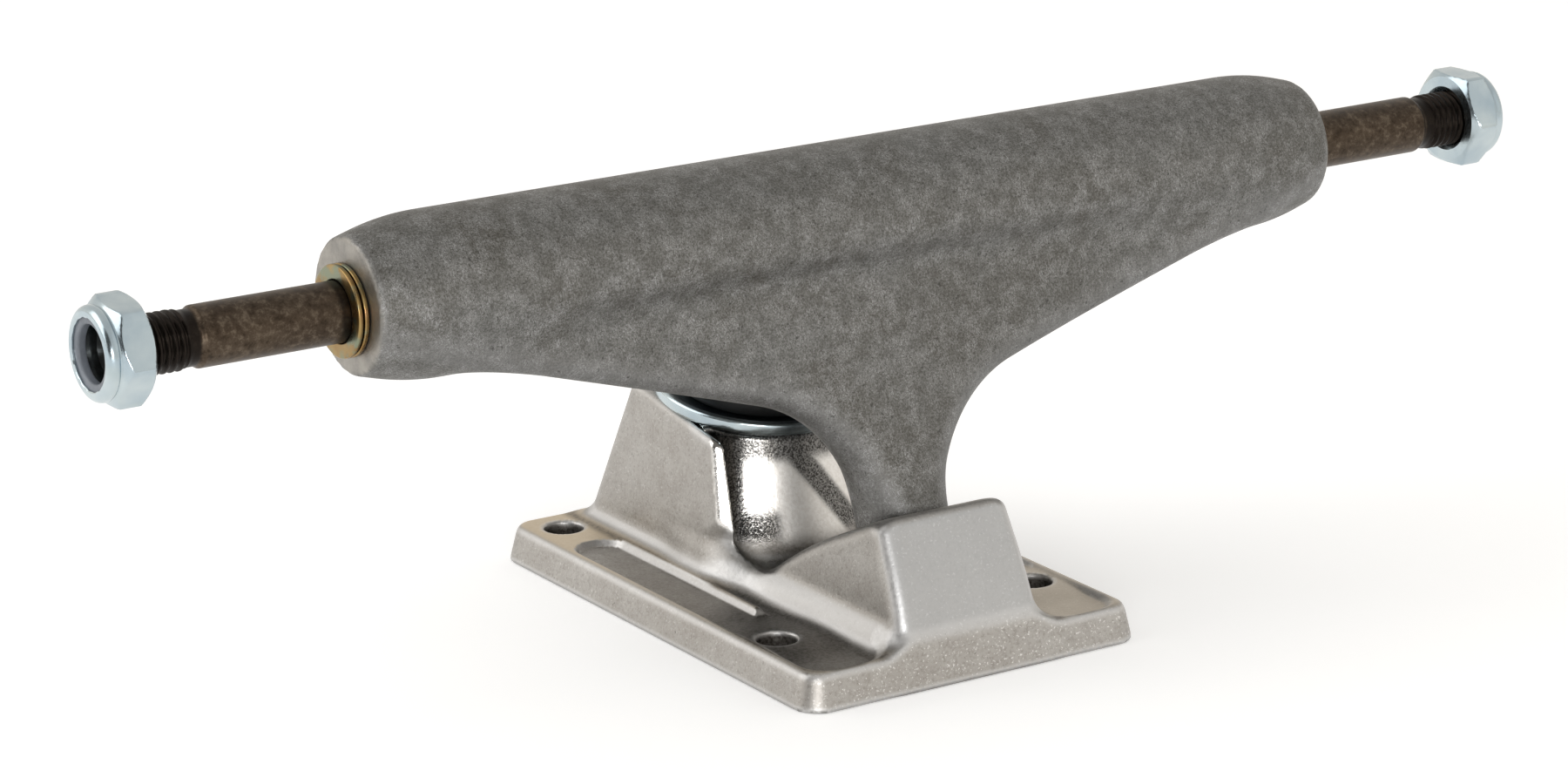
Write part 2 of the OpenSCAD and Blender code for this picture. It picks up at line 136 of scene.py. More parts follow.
def smooth_step(value, low, high):
    """0 up to low, 1 from high on, and a smooth rise between them."""
    t = np.clip((value - low) / (high - low), 0, 1)
    return t * t * (3 - 2 * t)


def fall(value, end, width):
    """1 up to a width before end, then a smooth fall to 0 at end."""
    return smooth_step(end - value, 0, width)


def folded(points):
    """X without its sign, Y and Z of points, because both castings are alike left and right."""
    return np.abs(points[:, 0]), points[:, 1], points[:, 2]


def round_rect(x, y, half_x, half_y, corner):
    """Distance to a rectangle with round corners."""
    over_x = np.abs(x) - half_x + corner
    over_y = np.abs(y) - half_y + corner
    outside = np.hypot(np.maximum(over_x, 0), np.maximum(over_y, 0))
    return outside + np.minimum(np.maximum(over_x, over_y), 0) - corner


def capsule_up(local, radius, length):
    """Distance to a bar with a round foot at the origin of its axis."""
    rise = np.clip(local[:, 2], 0, length)
    return np.sqrt(local[:, 0] ** 2 + local[:, 1] ** 2 + (local[:, 2] - rise) ** 2) - radius


# Hanger: barrel
HANGER_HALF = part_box("hanger")[1].x / MM
BARREL_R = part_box("hanger")[1].z / MM - AXLE_CENTRE[2]
BARREL_RISE = 0.4
FACE_R = 8.8
FACE_EDGE = 0.55
SHOULDER_SLOPE = 0.27
SHOULDER_ROUND = 1.2
AXLE_BORE_R = 4.02
BORE_EDGE = 0.3
EDGE_Z = 54.2
EDGE_FALL = 0.0004
EDGE_INSET = 0.15
FLAT_TILT = math.radians(28)
FLAT_EDGE = 0.5

# Hanger: web, wings and stem
VALLEY_Z = 50.0
VALLEY_Y = -21.6
WEB_BACK_Y = -16.8
WEB_END_X = 67
WEB_END_ROUND = 5
WEB_RISE = 2
WEB_LEAN = 0.10
WEB_FILLET = 1.2
ROOT_FILLET_GAIN = 1.8
ROOT_SPAN_X = (38, 52)
STEM_LEAN = 0.19
STEM_LEAN_REACH = 24
BACK_BOW = 0.0026
BACK_BOW_RISE = 4
WING_SLOPE = math.atan(0.286)
WING_ROOT_Z = 29.3
SWEEP_R = 19
STEM_HALF = 6.05
NOSE_R = 5.5
STEM_LENGTH = 16

# Hanger: bushing ring, its arms and the nut's pocket
RING_R = 15.9
RING_MID = (KINGPIN.span("lower_bushing")[1] + KINGPIN.span("upper_bushing")[0]) / 2
RING_HALF = 3.75
RING_EDGE = 1.6
RING_HOLE_R = 7
RING_WEB_HALF = 1.75
LOWER_SEAT_R = 12.5
UPPER_SEAT_R = 11.2
POCKET_R = 11.4
POCKET_EDGE = 0.8
STEER_ROOM = 4.6
ARM_ROOT_X = 46
ARM_FRONT_LEAN = 0.4
ARM_FRONT_Y = -18.3
ARM_INSET = 1.2
ARM_EDGE = 2
ARM_FILLET = 3
PART_FILLET = 2


def barrel_field(x, y, z):
    """The axle barrel, with a flat under its front edge and a shoulder down to each face."""
    inward = HANGER_HALF - x
    cone = FACE_R + SHOULDER_SLOPE * inward
    full = BARREL_R - BARREL_RISE
    radius = smooth_min(cone, full, SHOULDER_ROUND)
    wall = np.hypot(y - AXLE_CENTRE[1], z - AXLE_CENTRE[2] - BARREL_RISE) - radius
    edge_y = AXLE_CENTRE[1] - full + EDGE_INSET
    edge_z = EDGE_Z - EDGE_FALL * x * x
    flat = (edge_y - y) * math.cos(FLAT_TILT) + (edge_z - z) * math.sin(FLAT_TILT)
    wall = smooth_max(wall, flat, FLAT_EDGE)
    return smooth_max(wall, -inward, FACE_EDGE)


def wing_outline(x, z):
    """Front outline: sloping wings and a round sweep down to the upright stem."""
    slope_sin, slope_cos = math.sin(WING_SLOPE), math.cos(WING_SLOPE)
    centre_x = STEM_HALF + SWEEP_R
    centre_z = WING_ROOT_Z + (centre_x * slope_sin - SWEEP_R) / slope_cos
    to_x = x - centre_x
    to_z = z - centre_z
    wing = (WING_ROOT_Z - z) * slope_cos + x * slope_sin
    sweep = SWEEP_R - np.hypot(to_x, to_z)
    outer = np.where(to_x * slope_cos + to_z * slope_sin < 0, sweep, wing)
    return np.where(to_z <= 0, x - STEM_HALF, outer)


def web_field(x, y, z, outline):
    """The wings and the front of the stem: a slab that leans forward towards the pivot."""
    drop = VALLEY_Z - z
    lean = WEB_LEAN + STEM_LEAN * np.exp(-((x / STEM_LEAN_REACH) ** 2))
    front = VALLEY_Y - lean * drop
    bow = drop + BACK_BOW_RISE
    back = WEB_BACK_Y - BACK_BOW * bow * np.abs(bow)
    half = (back - front) / 2
    aside = y - (front + back) / 2
    web = np.hypot(np.maximum(outline + half, 0), aside) - half
    web = smooth_max(web, x - WEB_END_X, WEB_END_ROUND)
    return np.maximum(web, -drop - WEB_RISE)


def ring_field(x, y, z, local, outline):
    """The bushing ring and the arms that carry it from the barrel."""
    radius = np.hypot(local[:, 0], local[:, 1])
    ring = smooth_max(radius - RING_R, np.abs(local[:, 2] - RING_MID) - RING_HALF, RING_EDGE)
    _, ring_y, ring_z = KINGPIN.origin + RING_MID * KINGPIN.along
    run = np.array([ARM_ROOT_X - RING_R, AXLE_CENTRE[1] - ring_y])
    run = run / np.linalg.norm(run)
    flank = -(x - RING_R) * run[1] + (y - ring_y) * run[0]
    reach = ring_y - AXLE_CENTRE[1]
    under_rise = (ring_z - RING_HALF - WING_ROOT_Z) / (reach + BARREL_R / 2)
    under = ring_z - RING_HALF + (y - ring_y) * under_rise - z
    over_fall = (AXLE_CENTRE[2] - ring_z - RING_HALF) / (reach - BARREL_R / 2)
    over = z - ring_z - RING_HALF + (y - ring_y) * over_fall
    lower = smooth_max(flank, under, ARM_EDGE)
    upper = smooth_max(over, outline + ARM_INSET, ARM_EDGE)
    arms = smooth_max(lower, upper, ARM_EDGE)
    web_side = np.maximum(AXLE_CENTRE[1] - ARM_FRONT_LEAN * (AXLE_CENTRE[2] - z), ARM_FRONT_Y) - y
    arms = np.maximum(arms, np.maximum(y - ring_y, web_side))
    return smooth_min(ring, arms, ARM_FILLET)


def hanger_cuts(local):
    """The kingpin's hole, the bushing seats and the pocket for the nut."""
    radius = np.hypot(local[:, 0], local[:, 1])
    height = local[:, 2]
    hole = np.maximum(radius - RING_HOLE_R, -height)
    lower_seat = np.maximum(radius - LOWER_SEAT_R, height - RING_MID + RING_WEB_HALF)
    upper_seat = np.maximum(radius - UPPER_SEAT_R, RING_MID + RING_WEB_HALF - height)
    aside = np.maximum(np.abs(local[:, 0]) - STEER_ROOM, 0)
    pocket = np.maximum(np.hypot(aside, local[:, 1]) - POCKET_R, RING_MID + RING_HALF - height)
    return np.minimum(np.minimum(hole, lower_seat), np.minimum(upper_seat, pocket))


def hanger_field(points):
    """The whole hanger."""
    x, y, z = folded(points)
    on_kingpin = KINGPIN.local(points)
    outline = wing_outline(x, z)
    root = WEB_FILLET + ROOT_FILLET_GAIN * smooth_step(x, *ROOT_SPAN_X)
    solid = smooth_min(barrel_field(x, y, z), web_field(x, y, z, outline), root)
    solid = smooth_min(solid, ring_field(x, y, z, on_kingpin, outline), PART_FILLET)
    solid = smooth_min(solid, capsule_up(PIVOT.local(points), NOSE_R, STEM_LENGTH), PART_FILLET)
    bore = np.hypot(y - AXLE_CENTRE[1], z - AXLE_CENTRE[2]) - AXLE_BORE_R
    solid = smooth_max(solid, -hanger_cuts(on_kingpin), POCKET_EDGE)
    return smooth_max(solid, -bore, BORE_EDGE)


# Baseplate: flange, its sunk panels and its holes
PLATE_LOW, PLATE_HIGH = (np.array(corner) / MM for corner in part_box("baseplate"))
PLATE_HALF_X = PLATE_HIGH[0]
PLATE_HALF_Y = (PLATE_HIGH[1] - PLATE_LOW[1]) / 2
PLATE_MID_Y = (PLATE_HIGH[1] + PLATE_LOW[1]) / 2
PLATE_CORNER = 4.2
PLATE_DRAFT = 0.24
PLATE_WALL_EDGE = 0.4
PLATE_FOOT_EDGE = 0.6
FLANGE_TOP = 5.25
FLANGE_EDGE = 1.5
FLOOR_SINK = 0.9
FRONT_PANEL_X = (10.5, 24.3)
FRONT_PANEL_Y = (-41.6, -17)
FRONT_PANEL_ROUNDS = (4, 1, 8)
FRONT_PANEL_WALL = 0.7
SIDE_PANEL_MID = (20.9, -2.5)
SIDE_PANEL_HALF = (3.5, 22)
SIDE_PANEL_CORNER = 3.2
PANEL_WALL = 0.4
GUTTER_X = 16.2
GUTTER_FRONT_Y = (-30, -24)
GUTTER_BACK_FALL = (-2, 15)
HOLE_X = 41.28 / 2
HOLE_Y = 53.98 / 2
HOLE_R = 2.75
HOLE_PAD = 0.5
HOLE_PAD_FALL = (10, 7)
CUT_EDGE = 0.5

# Baseplate: pivot block, where each slant has its slope and the cosine of that slope
BLOCK_DATUM_Z = 20
BLOCK_HALF = 10.4
BLOCK_SIDE_DRAFT = 0.07
BLOCK_FRONT_Y = -36.2
BLOCK_FRONT_SLOPE, BLOCK_FRONT_COS = 0.51, 0.891
RIM_SETBACK = 0.2
RIM_COS = 0.972
RIM_ROUND = 1.5
BLOCK_TOP_Y = -34.6
BLOCK_TOP_Z = 21.1
BLOCK_TOP_SLOPE, BLOCK_TOP_COS = 0.48, 0.9
BLOCK_BACK_Y = -13.0
BLOCK_BACK_Z = 10.4
BLOCK_BACK_NORMAL = (0.66, 0.75)
BLOCK_CORNER = 2.6
BLOCK_CREST = 3
BLOCK_TOP_EDGE = 2
BLOCK_FILLET = 2
SEAT_FRONT_Y = -16
CUP_BORE_R = 7.36
CUP_BORE_LENGTH = 60

# Baseplate: kingpin housing with its ears, scoop and boss
HOUSING_DATUM_Z = 24
HOUSING_HALF = 14
HOUSING_DRAFT = 0.055
HOUSING_EDGE = 2.4
HOUSING_FILLET = 3.5
HOUSING_BACK_Y = 21.0
HOUSING_BACK_Z = 26
HOUSING_BACK_SLOPE, HOUSING_BACK_COS = 0.462, 0.908
EAR_INSIDE = 12.6
EAR_MID_X = 13.5
EAR_FRONT_Y = -1.35
EAR_RAKE = 0.235
EAR_TURN = math.radians(35)
EAR_EDGE = 0.5
EAR_FOOT_EDGE = 3.5
EAR_FOOT_FALL = (13.5, 3.5)
SCOOP_BACK_Y = 6.5
SCOOP_CORNER = 4
SCOOP_EDGE = 0.5
BOSS_R = 12.9
BOSS_FLARE = 0.14
BOSS_SPREAD = 0.0093
BOSS_FILLET = 1.2
SEAT_EDGE = 1.2
KINGPIN_BORE_R = 4.82
HEAD_RECESS_AF = 14.5
HEAD_RECESS_FLATS = np.radians((30, 90, 150))
HEAD_DEPTH = 13

# Baseplate: spine with its bowl
SPINE_TOP = 7.2
SPINE_HALF = 13.0
SPINE_TAPER = 0.02
SPINE_FLARE = 1.3
SPINE_FLARE_Y = (-13, -1)
SPINE_TUCK = 2.5
SPINE_TUCK_Y = (3, 12)
SPINE_EDGE = 2
SPINE_MID_Y = -9.2
SPINE_HALF_LENGTH = 31.2
SPINE_END_ROUND = 4
BOWL_DEPTH = 1.8
BOWL_SIDE_FALL = (12, 3)
BOWL_FRONT_Y = (-15, -10)
FOOT_FILLET = 2.8


def from_hole(x, y):
    """Distance from the middle of the nearest deck hole."""
    return np.hypot(x - HOLE_X, np.abs(y) - HOLE_Y)


def flange_height(x, y):
    """Height of the flange's top, sunk in the panels and less so round the holes."""
    corner, end, inner = FRONT_PANEL_ROUNDS
    front = smooth_max(x - FRONT_PANEL_X[1], FRONT_PANEL_Y[0] - y, corner)
    front = smooth_max(front, y - FRONT_PANEL_Y[1], end)
    front = smooth_max(front, FRONT_PANEL_X[0] - x, inner)
    panel = round_rect(x - SIDE_PANEL_MID[0], y - SIDE_PANEL_MID[1], *SIDE_PANEL_HALF, SIDE_PANEL_CORNER)
    in_front = smooth_step(-front, -FRONT_PANEL_WALL, FRONT_PANEL_WALL)
    sunk = np.maximum(in_front, smooth_step(-panel, -PANEL_WALL, PANEL_WALL))
    gutter = smooth_step(GUTTER_X - x, -PANEL_WALL, PANEL_WALL)
    gutter = gutter * fall(y, *GUTTER_BACK_FALL) * smooth_step(y, *GUTTER_FRONT_Y)
    depth = FLOOR_SINK * (1 - HOLE_PAD * fall(from_hole(x, y), *HOLE_PAD_FALL))
    return FLANGE_TOP - depth * np.maximum(sunk, gutter)


def block_field(x, y, z):
    """The pivot block, drafted at its sides and square to the pivot stem on top."""
    below = BLOCK_DATUM_Z - z
    sides = x - BLOCK_HALF - BLOCK_SIDE_DRAFT * below
    front = (BLOCK_FRONT_Y - BLOCK_FRONT_SLOPE * below - y) * BLOCK_FRONT_COS
    over_rim = (PLATE_LOW[1] + PLATE_DRAFT * z + RIM_SETBACK - y) * RIM_COS
    front = smooth_max(front, over_rim, RIM_ROUND)
    top = (z - BLOCK_TOP_Z + BLOCK_TOP_SLOPE * (y - BLOCK_TOP_Y)) * BLOCK_TOP_COS
    back = (y - BLOCK_BACK_Y) * BLOCK_BACK_NORMAL[0] + (z - BLOCK_BACK_Z) * BLOCK_BACK_NORMAL[1]
    walls = smooth_max(front, sides, BLOCK_CORNER)
    return smooth_max(smooth_max(top, back, BLOCK_CREST), walls, BLOCK_TOP_EDGE)


def housing_field(x, y, z, local):
    """The kingpin housing, scooped out in front round a conical boss."""
    back = (y - HOUSING_BACK_Y - HOUSING_BACK_SLOPE * (HOUSING_BACK_Z - z)) * HOUSING_BACK_COS
    below = HOUSING_DATUM_Z - z
    ear = EAR_FRONT_Y - EAR_RAKE * below - y
    front = ear * math.cos(EAR_TURN) + (x - EAR_MID_X) * math.sin(EAR_TURN)
    box = smooth_max(x - HOUSING_HALF - HOUSING_DRAFT * below, back, HOUSING_EDGE)
    box = smooth_max(box, front, EAR_EDGE + EAR_FOOT_EDGE * fall(z, *EAR_FOOT_FALL))
    scoop = smooth_max(x - EAR_INSIDE, y - SCOOP_BACK_Y, SCOOP_CORNER)
    box = smooth_max(box, -scoop, SCOOP_EDGE)
    boss_r = BOSS_R + (BOSS_FLARE + BOSS_SPREAD * np.maximum(below, 0)) * below
    boss = np.hypot(x, y - KINGPIN.origin[1]) - boss_r
    boss = np.maximum(boss, x - EAR_INSIDE)
    return smooth_max(smooth_min(box, boss, BOSS_FILLET), local[:, 2], SEAT_EDGE)


def spine_field(x, y, z):
    """The low spine between the pivot block and the housing."""
    half = np.minimum(SPINE_HALF + SPINE_TAPER * y, SPINE_HALF)
    half = half + SPINE_FLARE * smooth_step(y, *SPINE_FLARE_Y)
    half = half - SPINE_TUCK * smooth_step(y, *SPINE_TUCK_Y)
    bowl = SPINE_TOP - BOWL_DEPTH * fall(x, *BOWL_SIDE_FALL) * smooth_step(y, *BOWL_FRONT_Y)
    spine = smooth_max(x - half, z - bowl, SPINE_EDGE)
    return smooth_max(spine, np.abs(y - SPINE_MID_Y) - SPINE_HALF_LENGTH, SPINE_END_ROUND)


def plate_cuts(points, x, y):
    """Deck holes, the kingpin's bore with its head recess, and the pivot cup's bore."""
    holes = from_hole(x, y) - HOLE_R
    u, v, height = KINGPIN.local(points).T
    bore = np.hypot(u, v) - KINGPIN_BORE_R
    flats = [u * math.cos(turn) + v * math.sin(turn) for turn in HEAD_RECESS_FLATS]
    across = np.max(np.abs(flats), axis=0)
    recess = np.maximum(across - HEAD_RECESS_AF / 2, height + HEAD_DEPTH)
    cup = capsule_up(PIVOT.local(points), CUP_BORE_R, CUP_BORE_LENGTH)
    return np.minimum(np.minimum(holes, bore), np.minimum(recess, cup))


def raised_field(points, x, y, z):
    """Everything that stands on the flange."""
    raised = smooth_min(spine_field(x, y, z), block_field(x, y, z), BLOCK_FILLET)
    return smooth_min(raised, housing_field(x, y, z, KINGPIN.local(points)), HOUSING_FILLET)


def plate_field(points):
    """The whole baseplate."""
    x, y, z = folded(points)
    envelope = round_rect(x, y - PLATE_MID_Y, PLATE_HALF_X, PLATE_HALF_Y, PLATE_CORNER) + PLATE_DRAFT * z
    flange = smooth_max(envelope, z - flange_height(x, y), FLANGE_EDGE)
    solid = smooth_min(flange, raised_field(points, x, y, z), FOOT_FILLET)
    solid = smooth_max(solid, envelope, PLATE_WALL_EDGE)
    solid = np.maximum(solid, np.minimum(KINGPIN.local(points)[:, 2], y - SEAT_FRONT_Y))
    solid = smooth_max(solid, -plate_cuts(points, x, y), CUT_EDGE)
    return smooth_max(solid, -z, PLATE_FOOT_EDGE)


# Meshing
PROJECTIONS = 3
LEAST_SLOPE_SQUARE = 0.2
LEAST_LENGTH = 1e-6
MOST_FILLET_SHARE = 0.48


def field_on_grid(field, axes):
    """Field values on a grid, worked out one slice of X at a time."""
    y, z = np.meshgrid(axes[1], axes[2], indexing="ij")
    values = np.empty([len(axis) for axis in axes], np.float32)
    points = np.stack([np.zeros(y.size), y.ravel(), z.ravel()], 1)
    for index, x in enumerate(axes[0]):
        points[:, 0] = x
        values[index] = field(points).reshape(y.shape)
    return values


def surface_net(field, low, high, step):
    """Points and quads of a field's zero surface, one point in each grid cell that it crosses."""
    axes = [np.arange(low[i], high[i] + step, step) for i in range(3)]
    values = field_on_grid(field, axes)
    inside = values < 0
    corners = [np.array([i, j, k]) for i in (0, 1) for j in (0, 1) for k in (0, 1)]
    size = np.array(values.shape) - 1

    def shifted(grid, corner):
        return grid[tuple(slice(corner[i], corner[i] + size[i]) for i in range(3))]

    count = sum(shifted(inside, corner).astype(np.int8) for corner in corners)
    cells = np.argwhere((count > 0) & (count < len(corners)))
    at_corner = [values[tuple((cells + corner).T)] for corner in corners]
    total = np.zeros((len(cells), 3))
    crossings = np.zeros(len(cells))
    for a, start in enumerate(corners):
        for b, end in enumerate(corners):
            if (end - start).min() < 0 or (end - start).sum() != 1:
                continue
            crossed = (at_corner[a] < 0) != (at_corner[b] < 0)
            share = at_corner[a][crossed] / (at_corner[a][crossed] - at_corner[b][crossed])
            total[crossed] += start + share[:, None] * (end - start)
            crossings[crossed] += 1
    points = low + step * (cells + total / crossings[:, None])

    number = np.full(size, -1, np.int64)
    number[tuple(cells.T)] = np.arange(len(cells))
    quads = []
    for axis in range(3):
        first, second = (axis + 1) % 3, (axis + 2) % 3
        ahead = np.roll(inside, -1, axis)
        edges = np.argwhere((inside != ahead)[tuple(slice(1, n) for n in size)]) + 1
        ring = []
        for back_first, back_second in ((1, 1), (0, 1), (0, 0), (1, 0)):
            cell = edges.copy()
            cell[:, first] -= back_first
            cell[:, second] -= back_second
            ring.append(number[tuple(cell.T)])
        quad = np.stack(ring, 1)
        outward = inside[tuple(edges.T)]
        quads.append(np.where(outward[:, None], quad, quad[:, ::-1]))
    return points, np.concatenate(quads)


def gradient(field, points, reach=0.04):
    slopes = []
    for axis in range(3):
        offset = np.zeros(3)
        offset[axis] = reach
        slopes.append((field(points + offset) - field(points - offset)) / (2 * reach))
    return np.stack(slopes, 1)


def cast_surface(field, low, high, step):
    """Points, quads and normals of a casting, with the points moved onto the true surface."""
    margin = 2 * step
    points, quads = surface_net(field, np.array(low) - margin, np.array(high) + margin, step)
    for _ in range(PROJECTIONS):
        slope = gradient(field, points)
        square = np.maximum((slope * slope).sum(1), LEAST_SLOPE_SQUARE)
        move = np.clip(field(points) / square, -step, step)
        points = points - move[:, None] * slope
    points = np.clip(points, low, high)
    slope = gradient(field, points)
    return points, quads, slope / np.maximum(np.linalg.norm(slope, axis=1), LEAST_LENGTH)[:, None]


def loft(line, radii, heights, closed):
    """Points and faces of rings round an axis: a tube that closes on itself, or a capped bar."""
    points = np.stack([radii * np.cos(TURN), radii * np.sin(TURN), heights], -1).reshape(-1, 3)
    ids = np.arange(radii.size).reshape(radii.shape)
    here, there = (ids, np.roll(ids, -1, 0)) if closed else (ids[:-1], ids[1:])
    quads = np.stack([here, np.roll(here, -1, 1), np.roll(there, -1, 1), there], -1).reshape(-1, 4)
    faces = quads.tolist()
    if not closed:
        faces.append(ids[0, ::-1].tolist())
        faces.append(ids[-1].tolist())
    return line.world(points), faces


def loft_rows(line, rows, closed):
    """A loft of rows of (radius, height), where a radius is one number or one for each segment."""
    radii = np.array([radius * ROUND for radius, _ in rows])
    heights = np.array([height * ROUND for _, height in rows])
    return loft(line, radii, heights, closed)


def rounded(corners, fillets, arc_points=6):
    """A closed outline from corners of (radius, height) and the length of the fillet at each."""
    spots = np.array(corners, float)
    outline = []
    for index, (spot, fillet) in enumerate(zip(spots, fillets)):
        before = spots[index - 1] - spot
        after = spots[(index + 1) % len(spots)] - spot
        start = spot + before * min(fillet / np.linalg.norm(before), MOST_FILLET_SHARE)
        end = spot + after * min(fillet / np.linalg.norm(after), MOST_FILLET_SHARE)
        for t in np.linspace(0, 1, arc_points):
            outline.append((1 - t) ** 2 * start + 2 * t * (1 - t) * spot + t * t * end)
    return outline


def turned(line, corners, fillets):
    """Points and faces of a turned ring with this outline."""
    return loft_rows(line, rounded(corners, fillets), closed=True)


def ring_corners(low, high, bore, outer):
    """Corners of a plain ring, from its span."""
    return [(bore, low), (outer, low), (outer, high), (bore, high)]


# Materials

def add(tree, kind, inputs=None, **settings):
    """A shader node with its settings and inputs; an input is a value or another node's socket."""
    node = tree.nodes.new("ShaderNode" + kind)
    for name, value in settings.items():
        setattr(node, name, value)
    for name, value in (inputs or {}).items():
        if isinstance(value, bpy.types.NodeSocket):
            tree.links.new(value, node.inputs[name])
        else:
            node.inputs[name].default_value = value
    return node


def ramp(factor, low, high, start=0.0, end=1.0):
    """Remaps a factor from between low and high to between start and end, and clamps it."""
    inputs = {"Value": factor, "From Min": low, "From Max": high, "To Min": start, "To Max": end}
    return add(factor.id_data, "MapRange", inputs).outputs["Result"]


def mix(factor, first, second, label=""):
    """Mixes two colours; the Mix node takes them in its sockets 6 and 7."""
    inputs = {0: factor, 6: first, 7: second}
    return add(factor.id_data, "Mix", inputs, data_type="RGBA", label=label).outputs[2]


def coat(colour, **layers):
    """Lays one layer after another over a colour, each a mask and a tint."""
    for name, (mask, tint) in layers.items():
        colour = mix(mask, colour, tint, label=name)
    return colour


def mix_number(factor, first, second):
    """Mixes two numbers; the Mix node takes them in its sockets 2 and 3."""
    return add(factor.id_data, "Mix", {0: factor, 2: first, 3: second}, data_type="FLOAT").outputs[0]


def calculate(operation, first, second):
    return add(first.id_data, "Math", {0: first, 1: second}, operation=operation).outputs[0]


def product(first, second):
    return calculate("MULTIPLY", first, second)


def total(first, second):
    return calculate("ADD", first, second)


def larger(first, second):
    return calculate("MAXIMUM", first, second)


def place(tree):
    return add(tree, "TexCoord").outputs["Object"]


def noise(tree, scale, detail=4.0, roughness=0.6, vector=None):
    """Noise over the piece; scale is in features a metre."""
    inputs = {"Vector": vector or place(tree), "Scale": scale, "Detail": detail, "Roughness": roughness}
    return add(tree, "TexNoise", inputs).outputs["Fac"]


def attribute(tree, name, share=None):
    """A value that paint stores on the mesh, or a share of it."""
    value = add(tree, "Attribute", attribute_name=name).outputs["Fac"]
    return value if share is None else product(value, share)


def grey(level, warmth=0.0):
    """A grey, with red raised and blue lowered by its warmth."""
    return (level * (1 + warmth), level, level * (1 - 1.6 * warmth), 1)


def empty_tree(owner):
    """The node tree of a material or world, with nothing in it yet."""
    owner.use_nodes = True
    owner.node_tree.nodes.clear()
    return owner.node_tree


def new_material(name):
    material = bpy.data.materials.new(name)
    return material, empty_tree(material)


def finish_material(material, colour, roughness, height, strength, depth, metallic=1.0):
    """Joins a material's colour, roughness and relief in a shader; depth is in metres."""
    tree = material.node_tree
    bump = add(tree, "Bump", {"Height": height, "Strength": strength, "Distance": depth})
    inputs = {"Base Color": colour, "Roughness": roughness, "Normal": bump.outputs["Normal"]}
    shader = add(tree, "BsdfPrincipled", {"Metallic": metallic, **inputs})
    add(tree, "OutputMaterial", {"Surface": shader.outputs["BSDF"]})
    return material


# The range that noise mostly keeps to
SPREAD = (0.3, 0.7)

# Flecks, with their length and two widths in metres, and their directions
FLECK_SIZE = (0.0008, 0.00017, 0.00017)
FLECK_CUT = (0.58, 0.68)
FLECK_TURNS = ((0.4, 0.3, 0.9), (1.1, -0.5, -0.7), (-0.6, 1.2, 0.2), (0.2, 0.9, -1.4))

# Drawing marks along the axle, in features a metre, and how much finer plastic's relief is
OXIDE_STREAKS = (120, 700, 700)
PLASTIC_FINENESS = 12


def flecks(tree):
    """Short streaks that lie in several directions."""
    streaks = []
    for turn in FLECK_TURNS:
        inputs = {"Vector": place(tree), "Rotation": turn, "Scale": FLECK_SIZE}
        vector = add(tree, "Mapping", inputs, vector_type="TEXTURE").outputs["Vector"]
        streaks.append(ramp(noise(tree, 1.0, detail=2, vector=vector), *FLECK_CUT))
    most = streaks[0]
    for streak in streaks[1:]:
        most = larger(most, streak)
    return most


def hanger_material():
    """Tumbled cast aluminium: olive grey, mottled, with short bright flecks and dark pits."""
    material, tree = new_material("tumbled_grey_casting")
    cloud = noise(tree, 85)
    patch = noise(tree, 420)
    grain = noise(tree, 3400, detail=3, roughness=0.7)
    pits = ramp(noise(tree, 1500, detail=2), 0.36, 0.27, end=0.6)
    streaks = flecks(tree)
    machined = attribute(tree, "machined")
    colour = coat(
        mix(ramp(cloud, *SPREAD), (0.124, 0.118, 0.105, 1), (0.164, 0.164, 0.157, 1)),
        patch=(ramp(patch, 0.45, 0.66, end=0.7), (0.215, 0.212, 0.203, 1)),
        light_grain=(ramp(grain, 0.5, 0.68, end=0.75), (0.27, 0.268, 0.257, 1)),
        dark_grain=(ramp(grain, 0.5, 0.33, end=0.75), (0.072, 0.069, 0.061, 1)),
        # A lighter band along the lower rim of the wings: partly wear, partly painted light where it faces down
        # into shade
        rim=(attribute(tree, "rim", share=0.3), grey(0.30)),
        flecks=(product(streaks, ramp(patch, 0.4, 0.62, start=0.15, end=0.8)), grey(0.40)),
        pits=(pits, (0.045, 0.044, 0.040, 1)),
        wear=(attribute(tree, "wear", share=0.35), grey(0.34)),
        # Grime and painted shade in the hollows
        grime=(attribute(tree, "hollow", share=0.5), (0.055, 0.050, 0.040, 1)),
        face=(machined, mix(ramp(patch, 0.35, 0.65), grey(0.25, 0.05), grey(0.34, 0.06))),
    )
    rough = mix_number(machined, ramp(grain, *SPREAD, start=0.5, end=0.64), 0.42)
    relief = total(product(grain, 0.5), product(patch, 0.6))
    relief = total(relief, product(streaks, 0.2))
    return finish_material(material, colour, rough, relief, strength=0.5, depth=0.0001)


